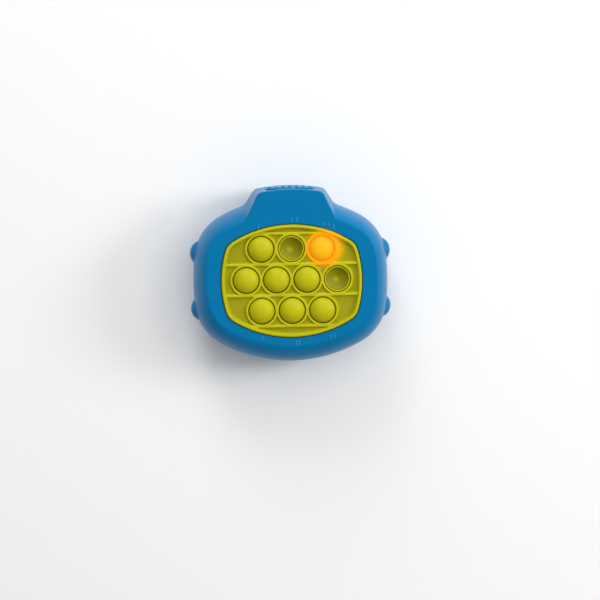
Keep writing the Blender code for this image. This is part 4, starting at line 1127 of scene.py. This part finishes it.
# Screws: a domed head with a cross, and a thread
screwSizes = {
    "crossWidth": 0.00042, "crossReach": 0.62, "crossDepth": 0.55, "dome": 0.45, "pitch": 0.0009,
    "threadDepth": 0.00018, "threadShare": 0.9, "threadStart": 0.07, "threadSunk": 0.7, "ridge": 1.1,
    "headSteps": 40, "shankSteps": 24, "coilSteps": 20,
    "groups": {
        # nodes, body, head radius, head height, shank radius
        "caseScrews": (caseScrews, "case", 0.0020, 0.0014, 0.0011),
        "boardScrews": (boardScrews, "case", 0.0015, 0.0010, 0.0007),
        "doorScrew": (["door_screw"], "battery_door", 0.0018, 0.0007, 0.001116),
    },
}


def makeScrewTree():
    size = screwSizes
    tree, given = newTree("screwTree", {"Head Radius": 0.002, "Head Height": 0.0014, "Shank Radius": 0.001,
                                        "Length": 0.01, "Turns": 8.0})
    radius, tall, shank, length = [
        given[name] for name in ("Head Radius", "Head Height", "Shank Radius", "Length")]
    # The head: a low drum with a domed underside towards the driver, less a cross
    head = firstOut(tree, "GeometryNodeMeshCylinder", {"Vertices": size["headSteps"], "Side Segments": 1,
                                                       "Fill Segments": 4, "Radius": radius, "Depth": tall})
    parts = addNode(tree, "ShaderNodeSeparateXYZ", {"Vector": firstOut(tree, "GeometryNodeInputPosition")})
    across = figure(tree, "ADD", figure(tree, "POWER", parts["X"], 2.0), figure(tree, "POWER", parts["Y"], 2.0))
    share = figure(tree, "DIVIDE", across, figure(tree, "POWER", radius, 2.0))
    below = figure(tree, "LESS_THAN", parts["Z"])
    lift = times(tree, times(tree, share, below),
                  times(tree, tall, size["dome"]))
    domed = firstOut(tree, "GeometryNodeSetPosition", {"Geometry": head, "Offset": vectorOf(tree, z=lift)})
    reach = times(tree, radius, 2 * size["crossReach"])
    deep = times(tree, tall, size["crossDepth"])
    bars = [firstOut(tree, "GeometryNodeMeshCube", {"Size": vectorOf(tree, long, wide, deep)})
            for long, wide in ((reach, size["crossWidth"]), (size["crossWidth"], reach))]
    cross = moved(tree, firstOut(tree, "GeometryNodeJoinGeometry", {"Geometry": bars}),
                  times(tree, tall, -0.5))
    carved = firstOut(tree, "GeometryNodeMeshBoolean", {
        "Mesh 1": domed, "Mesh 2": cross, "Self Intersection": True}, operation="DIFFERENCE", solver="EXACT")
    # The shank and its thread
    run = figure(tree, "SUBTRACT", length, tall)
    inner = figure(tree, "SUBTRACT", shank, size["threadDepth"])
    core = firstOut(tree, "GeometryNodeMeshCylinder", {"Vertices": size["shankSteps"], "Radius": inner,
                                                       "Depth": run})
    start = figure(tree, "SUBTRACT", shank, size["threadDepth"] * size["threadSunk"])
    coil = firstOut(tree, "GeometryNodeCurveSpiral", {
        "Resolution": size["coilSteps"], "Rotations": given["Turns"], "Start Radius": start, "End Radius": start,
        "Height": times(tree, run, size["threadShare"])})
    ridge = firstOut(tree, "GeometryNodeCurvePrimitiveCircle", {
        "Resolution": 3, "Radius": size["threadDepth"] * size["ridge"]})
    thread = firstOut(tree, "GeometryNodeCurveToMesh", {"Curve": coil, "Profile Curve": ridge, "Fill Caps": True})
    screw = firstOut(tree, "GeometryNodeJoinGeometry", {"Geometry": [
        moved(tree, carved, times(tree, tall, 0.5)),
        moved(tree, core, figure(tree, "ADD", tall, times(tree, run, 0.5))),
        moved(tree, thread, figure(tree, "ADD", tall, times(tree, run, size["threadStart"])))]})
    placeCopies(tree, given, screw, finishes["screwZinc"])
    return tree


def makeScrews():
    tree = makeScrewTree()
    for name, (group, body, radius, tall, shank) in screwSizes["groups"].items():
        low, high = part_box(group[0])
        length = high.z - low.z
        turns = max(2.0, (length - tall) * screwSizes["threadShare"] / screwSizes["pitch"])
        piece = growTree(name, [(*padPlace(node), low.z) for node in group], tree, {
            "Head Radius": radius, "Head Height": tall, "Shank Radius": shank, "Length": length, "Turns": turns})
        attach(piece, body)
        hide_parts(*group)
        print("screws made:", name, len(piece.data.polygons), "faces")


makeScrews()

# Silicone pad: a raised rim, cross ribs and a collar round each bubble
padSizes = {
    "rimWidth": 0.0014, "rimFall": 0.00030, "rimRound": 0.0006, "rimOverlap": 0.45,
    "ribHalf": 0.00040, "ribFall": 0.00055, "ribDrop": 0.00075,
    "collarOuter": 0.0069, "collarFall": 0.0005, "collarDrop": 0.0007,
    "floorDrop": 0.0016, "rowPitch": 0.0134, "rows": 3, "blend": 0.00012,
    "holeRadius": 0.00585, "holeRound": 0.00035,
    "fine": 0.00042, "ribStep": 1.6, "outlineSteps": 440, "flangeWidth": 0.0020, "flangeOverlap": 0.001,
    # where the rows of points lie, in millimetres: in from the edge, out from a hole, across a rib
    "edgeRows": (0.06, 0.14, 0.25, 0.4, 0.8, 1.1, 1.25, 1.45, 1.6, 1.75, 1.9, 2.1),
    "holeRows": (0.03, 0.08, 0.15, 0.25, 0.35, 0.55, 0.75, 0.88, 1.0, 1.12, 1.25, 1.4, 1.65),
    "ribRows": (-0.95, -0.8, -0.66, -0.52, -0.38, 0.0, 0.38, 0.52, 0.66, 0.8, 0.95),
    # how far from the edge, and from a hole, the points of each kind keep
    "holeRowClear": 0.0021, "gridClear": (0.0023, 0.0018), "ribRowClear": (0.0022, 0.0017),
}
bubbleSizes = {"radius": 0.0055, "rise": 0.0030, "steps": 72, "profileSteps": 22, "wall": 0.00004,
               "groove": 0.00035, "foot": 0.00015, "lip": 0.00030, "lipRadius": 0.0052, "bowlRadius": 0.0049,
               "bowlEdge": 0.19, "bowlDish": 0.56, "nubReach": 0.4, "capShare": 0.45,
               "bulk": (2.6, 0.62), "crowd": 1.6, "edgeGap": 0.00002, "skirt": 0.0001,
               "postRadius": 0.0010, "postSteps": 24, "postDrop": 0.0001, "postShoulder": (0.7, 0.08, 0.3)}
bubblePlaces = [middle(name) - padMiddle for name in bubbleNames]
baseLevel = apexLevel - bubbleSizes["rise"]
ribLines = [(padSizes["rows"] / 2 - number) * padSizes["rowPitch"] for number in range(padSizes["rows"] + 1)]


def softMax(values, reach):
    top = values[0]
    for value in values[1:]:
        near = max(reach - abs(top - value), 0.0)
        top = max(top, value) + near**2 / (4 * reach)
    return top


def fromBubbles(x, y):
    return [math.hypot(x - place.x, y - place.y) for place in bubblePlaces]


def padDepth(x, y):  # how far a point lies inside the pad's edge
    y -= windowSizes["shift"]
    angle = math.atan2(y, x)
    edge = outlineRay(windowSizes, angle, -fitGap)
    turned = outlineRay(windowSizes, angle + 1e-4, -fitGap)
    tangent = Vector((turned[0] - edge[0], turned[1] - edge[1])).normalized()
    across = abs(tangent.x * math.sin(angle) - tangent.y * math.cos(angle))
    return (math.hypot(*edge) - math.hypot(x, y)) * across


def padHeight(x, y):
    size, edge, depth = padSizes, padSizes["rimRound"], padDepth(x, y)
    floor = rimLevel - size["floorDrop"]

    def raised(top, past):  # from its top down to the floor, by the share of the fall that is past
        return floor + (top - floor) * (1 - smoothStep(past))

    rimTop = rimLevel
    if depth < edge:
        rimTop = rimLevel - edge + math.sqrt(max(0.0, edge**2 - (edge - max(depth, 0.0)) ** 2))
    inner = size["rimWidth"] - size["rimOverlap"] * edge
    heights = [floor, raised(rimTop, (depth - inner) / (size["rimFall"] + edge))]
    for away in [abs(y - line) for line in ribLines]:
        if away < size["ribHalf"] + size["ribFall"]:
            heights.append(raised(rimLevel - size["ribDrop"], (away - size["ribHalf"]) / size["ribFall"]))
    outer, fall = size["collarOuter"], size["collarFall"]
    for away in fromBubbles(x, y):
        if away < outer + fall:
            heights.append(raised(rimLevel - size["collarDrop"], (away - outer + fall / 2) / fall))
    height, curve = softMax(heights, size["blend"]), size["holeRound"]
    for past in [away - size["holeRadius"] for away in fromBubbles(x, y)]:
        if past < curve:
            height -= curve - math.sqrt(max(0.0, curve**2 - (curve - max(past, 0.0)) ** 2))
    return height


def padOutline(grow):
    return [windowPoint(turn, grow) for turn in turnsOf(padSizes["outlineSteps"])]


def padPoints():
    # Rings of points that follow the rim and the collars, rows along the ribs, and a plain grid between them
    size, hole, fine = padSizes, padSizes["holeRadius"], padSizes["fine"]
    points = []
    for depth in size["edgeRows"]:
        points += padOutline(-fitGap - depth * 0.001)
    holeSteps = bubbleSizes["steps"]
    for number, place in enumerate(bubblePlaces):
        for grow in size["holeRows"]:
            shift = 0.5 * (round(grow * 100) % 2)
            for step in range(holeSteps):
                x, y = onCircle(place, hole + grow * 0.001, 2 * math.pi * (step + shift) / holeSteps)
                away = fromBubbles(x, y)
                if away.index(min(away)) == number and padDepth(x, y) > size["holeRowClear"]:
                    points.append((x, y))
    rows, across = [int(windowSizes[half] / fine) + 1 for half in ("halfHeight", "halfWidth")]
    inward, outward = size["gridClear"]
    for row in range(-rows, rows + 1):
        for column in range(-across, across + 1):
            x, y = (column + 0.5 * (row % 2)) * fine, row * fine
            if (min(fromBubbles(x, y)) > hole + outward and padDepth(x, y) > inward
                    and min(abs(y - line) for line in ribLines) > size["ribHalf"] + size["ribFall"]):
                points.append((x, y))
    inward, outward = size["ribRowClear"]
    for y in [line + offset * 0.001 for line in ribLines for offset in size["ribRows"]]:
        for x in [column * fine / 2 * size["ribStep"] for column in range(-2 * across, 2 * across + 1)]:
            if (abs(x) < windowSizes["halfWidth"] and min(fromBubbles(x, y)) > hole + outward
                    and padDepth(x, y) > inward):
                points.append((x, y))
    return points


def makePad():
    size, holeSteps, outlineSteps = padSizes, bubbleSizes["steps"], padSizes["outlineSteps"]
    points = padOutline(-fitGap)
    edges = [(step, (step + 1) % outlineSteps) for step in range(outlineSteps)]
    for place in bubblePlaces:
        start = len(points)
        points += circle(place, size["holeRadius"], holeSteps)
        edges += [(start + step, start + (step + 1) % holeSteps) for step in range(holeSteps)]
    found = delaunay_2d_cdt([Vector(point) for point in points + padPoints()], edges, [], 0, 1e-6)
    flat, faces = found[0], found[2]
    shape = bmesh.new()
    verts = [shape.verts.new(toWorld((point.x, point.y, padHeight(point.x, point.y)))) for point in flat]
    for face in faces:
        x, y = [sum(flat[index][axis] for index in face) / 3 for axis in range(2)]
        if padDepth(x, y) > 0 and min(fromBubbles(x, y)) > size["holeRadius"] * 0.999:
            shape.faces.new([verts[index] for index in face])
    bmesh.ops.delete(shape, geom=[vert for vert in shape.verts if not vert.link_faces], context="VERTS")
    # Walls down the outside and down each hole, then a flat underside and a flange
    flangeTop = faceLevel - caseSizes["facePlate"] - fitGap
    rims = [edge for edge in shape.edges if edge.is_boundary]
    for level in (flangeTop, padLow):
        walls = bmesh.ops.extrude_edge_only(shape, edges=rims)["geom"]
        for vert in [item for item in walls if isinstance(item, bmesh.types.BMVert)]:
            vert.co.z = level
        rims = [item for item in walls if isinstance(item, bmesh.types.BMEdge) and item.is_boundary]
    bmesh.ops.triangle_fill(shape, edges=rims, use_beauty=True)
    bmesh.ops.recalc_face_normals(shape, faces=shape.faces)
    mesh = bpy.data.meshes.new("siliconePad")
    shape.to_mesh(mesh)
    shape.free()
    inner, outer = -fitGap - size["flangeOverlap"], size["flangeWidth"]
    flange = gridMesh("padFlange", [[(x, y, level) for x, y in padOutline(grow)] for level, grow in (
        (flangeTop, inner), (flangeTop, outer), (padLow, outer), (padLow, inner))], closeUp=True)
    mesh = joinedMesh("siliconePad", [mesh, flange])
    pad = addPiece("siliconePad", mesh, makeSilicone("limePad", "padShadeTones", glowCentre=middle(litName)))
    shadeSoft(mesh, 40)
    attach(pad, "case")
    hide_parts("bubble_pad")
    print("pad made:", len(mesh.polygons), "faces")


makePad()


# Bubbles: a thin dome, turned in as a bowl where the bubble is pushed, and a post on its underside

def fullRound(share):  # fuller towards its edge than a part of a ball
    inner, outer = bubbleSizes["bulk"]
    return (1 - share**inner) ** outer


def domeHeight(radius):
    size, rise = bubbleSizes, bubbleSizes["rise"]
    ball = (size["radius"] ** 2 + rise**2) / (2 * rise)
    cap = math.sqrt(ball**2 - radius**2) - (ball - rise)
    return size["capShare"] * cap + (1 - size["capShare"]) * rise * fullRound(min(1.0, radius / size["radius"]))


def bowlHeight(radius):
    size = bubbleSizes
    if radius > size["bowlRadius"]:
        away = (radius - size["lipRadius"]) / (size["radius"] - size["lipRadius"])
        return size["lip"] * math.sqrt(max(0.0, 1 - min(1.0, abs(away)) ** 2))
    # A dish with a low nub in its middle
    share = radius / size["bowlRadius"]
    dish = size["bowlEdge"] + size["bowlDish"] * fullRound(share)
    nub = (1 - size["bowlEdge"] - size["bowlDish"]) * max(0.0, 1 - (share / size["nubReach"]) ** 2) ** 2
    return -size["rise"] * (dish + nub)


def makeBubble(name, place):
    size, pushed, count = bubbleSizes, name in pushedNames, bubbleSizes["profileSteps"]
    height, finish = (bowlHeight, pushedFinish) if pushed else (domeHeight, domeFinish)
    if name == litName:
        finish = makeLitSilicone("limeLit", middle(name))
    groove = baseLevel - size["groove"]
    outer = [(padSizes["holeRadius"] - size["edgeGap"], groove), (size["radius"] + size["skirt"], groove),
             (size["radius"], baseLevel - size["foot"])]
    for radius in [size["radius"] * (1 - (step / count) ** size["crowd"]) for step in range(count + 1)]:
        outer.append((radius, baseLevel + height(radius)))
    profile = outer + [(radius, level - size["wall"]) for radius, level in reversed(outer)]
    rings = turnedRings(profile, place, size["steps"])
    dome = addPiece(name + "_dome", gridMesh(name + "_dome", rings, closeUp=True), finish)
    shadeSoft(dome.data, 60)
    apex = baseLevel + (-size["rise"] if pushed else size["rise"])
    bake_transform(dome)
    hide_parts(name)
    top, radius = apex - size["postDrop"], size["postRadius"]
    narrow, bend, fall = size["postShoulder"]
    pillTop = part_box(name.replace("bubble", "pill"))[1].z + fitGap
    post = addPiece(name + "_post", turnedMesh(name + "_post", [
        (0, top), (radius * narrow, top - radius * bend), (radius, top - radius * fall), (radius, pillTop),
        (0, pillTop)], place, size["postSteps"]), postFinish)
    shadeSoft(post.data, 50)
    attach(post, name)
    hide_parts(name)


# these tones paint shade into grooves, recesses and bowls, and highlights on tops
domeFinish = makeSilicone("limeDome", "domeShadeTones")
pushedFinish = makeSilicone("limePushed", "bowlShadeTones")
postFinish = makeSilicone("limePost", "padShadeTones")
for bubbleName, bubblePlace in zip(bubbleNames, bubblePlaces):
    makeBubble(bubbleName, bubblePlace)
print("bubbles made")

# Cells: a can with a rolled edge, a plain jacket and a nub
cellSizes = {"radius": 0.00525, "edge": 0.0004, "nub": 0.0019, "nubRise": 0.0008, "groove": 0.00025, "steps": 56,
             "jacketColour": (0.30, 0.33, 0.37), "bandColour": (0.035, 0.060, 0.090), "steel": (0.62, 0.62, 0.62),
             "jacketStart": 0.012, "bandStart": 0.76, "jacketEnd": 0.968, "roughness": 0.32, "metallic": 0.55,
             "rolled": 0.3, "middleRing": 0.6}


def makeCell(name, nubLeft):
    size = cellSizes
    low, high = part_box(name)
    base, tip = (high.x, low.x) if nubLeft else (low.x, high.x)
    way, length = (1 if tip > base else -1), abs(tip - base)
    radius, edge, groove, nub = size["radius"], size["edge"], size["groove"], size["nub"]
    shoulder, top = length - size["nubRise"], length
    bend = edge * size["rolled"]
    rolled = [(radius - edge, groove), (radius - bend, groove + bend), (radius, groove + edge)]
    profile = [(0.0, 0.0), (radius - 2 * edge, 0.0)] + rolled + [(radius, size["middleRing"] * length)]
    profile += [(reach, shoulder - along) for reach, along in reversed(rolled)]
    profile += [(nub + edge, shoulder - groove), (nub, shoulder), (nub, top - edge / 2), (nub - edge / 2, top),
                (0.0, top)]
    centre = (padPlace(name)[1], (low.z + high.z) / 2)
    rings = [[(base - padMiddle.x + way * along, *onCircle(centre, reach, turn))
              for turn in turnsOf(size["steps"])] for reach, along in profile]
    material, tree, shader = newFinish(name + "_jacket", size["jacketColour"], size["roughness"], size["metallic"])
    share = mapped(tree, partOf(tree, objectPlace(tree), "X"), base, tip)
    plug(tree, colourRamp(tree, share, (
        (0.0, size["steel"]), (size["jacketStart"], size["jacketColour"]), (size["bandStart"], size["bandColour"]),
        (size["jacketEnd"], size["steel"])), "CONSTANT"), shader["Base Color"])
    cell = addPiece(name + "_can", gridMesh(name + "_can", rings), material)
    shadeSoft(cell.data)
    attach(cell, "case")
    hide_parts(name)


# The positive contact meets the nub of the cell in its row, at the left end
leftNub = min(("cell_1", "cell_2"), key=lambda name: abs(padPlace(name)[1] - padPlace("positive_contact")[1]))
for cellName in ("cell_1", "cell_2"):
    makeCell(cellName, cellName == leftNub)
print("cells made")


# Finishes for the small parts that keep their own shape
boardFinish = {"mask": (0.012, 0.130, 0.045), "run": (0.035, 0.230, 0.080), "darker": 0.9, "roughness": 0.28,
               "scale": 160.0, "runWidth": 0.035, "runBlur": 0.2, "strength": 0.6, "depth": 0.00003}
roundFinish = {"grainScale": 3000.0, "grainDepth": 0.00001}


def makeBoardFinish():  # green mask with copper runs under it
    size = boardFinish
    material, tree, shader = newFinish("boardGreen", size["mask"], size["roughness"])
    cells = addNode(tree, "ShaderNodeTexBrick", {
        "Vector": objectPlace(tree), "Scale": size["scale"], "Mortar Size": size["runWidth"],
        "Mortar Smooth": size["runBlur"], "Color1": (*size["mask"], 1), "Mortar": (*size["run"], 1),
        "Color2": (*[part * size["darker"] for part in size["mask"]], 1)})
    plug(tree, cells["Color"], shader["Base Color"])
    bump = firstOut(tree, "ShaderNodeBump", {"Height": cells["Fac"], "Strength": size["strength"],
                                             "Distance": size["depth"]})
    plug(tree, bump, shader["Normal"])
    return material


def makeRoundFinish(name, centre, stops, metallic=0.0, roughness=0.4):  # rings of colour round a centre
    material, tree, shader = newFinish(name, stops[0][1], roughness, metallic)
    place, last = objectPlace(tree), stops[-1][0]
    share = mapped(tree, distanceFrom(tree, place, centre), 0.0, last)
    plug(tree, colourRamp(tree, share, [(away / last, colour) for away, colour in stops]), shader["Base Color"])
    addGrain(tree, shader, place, roundFinish["grainScale"], roundFinish["grainDepth"])
    return material


finishes["green"] = makeBoardFinish()
paper, fold, dust, tin = (0.05, 0.05, 0.055), (0.02, 0.02, 0.02), (0.03, 0.03, 0.03), (0.55, 0.55, 0.55)
finishes["speaker"] = makeRoundFinish("speakerCone", middle("speaker"), (
    (0.0, paper), (0.0028, paper), (0.0031, fold), (0.0070, paper), (0.0084, dust), (0.0088, tin), (0.0100, tin)),
    0.3, 0.38)
nodeFinishes = {
    "light_frame": "white", "switch_plunger": "white",
    "circuit_board": "green", "sound_chip": "black", "power_switch": "black", "speaker": "speaker",
    "contact": "nickel", "pill": "carbon", "lead_negative": "blackLead", "lead_positive": "redLead",
}
resin = ((0.0, (0.90, 0.72, 0.20)), (0.00055, (0.90, 0.76, 0.30)), (0.00075, (0.82, 0.82, 0.78)),
         (0.0016, (0.82, 0.82, 0.78)))
for node, piece in nodes.items():
    chosen = [finishes[finish] for part, finish in nodeFinishes.items() if part in node]
    if node.startswith("led_"):  # cream resin in a white rim
        chosen.append(makeRoundFinish(node + "_resin", middle(node), resin))
    if chosen:
        piece.data.materials.clear()
        piece.data.materials.append(chosen[-1])

print("all made")
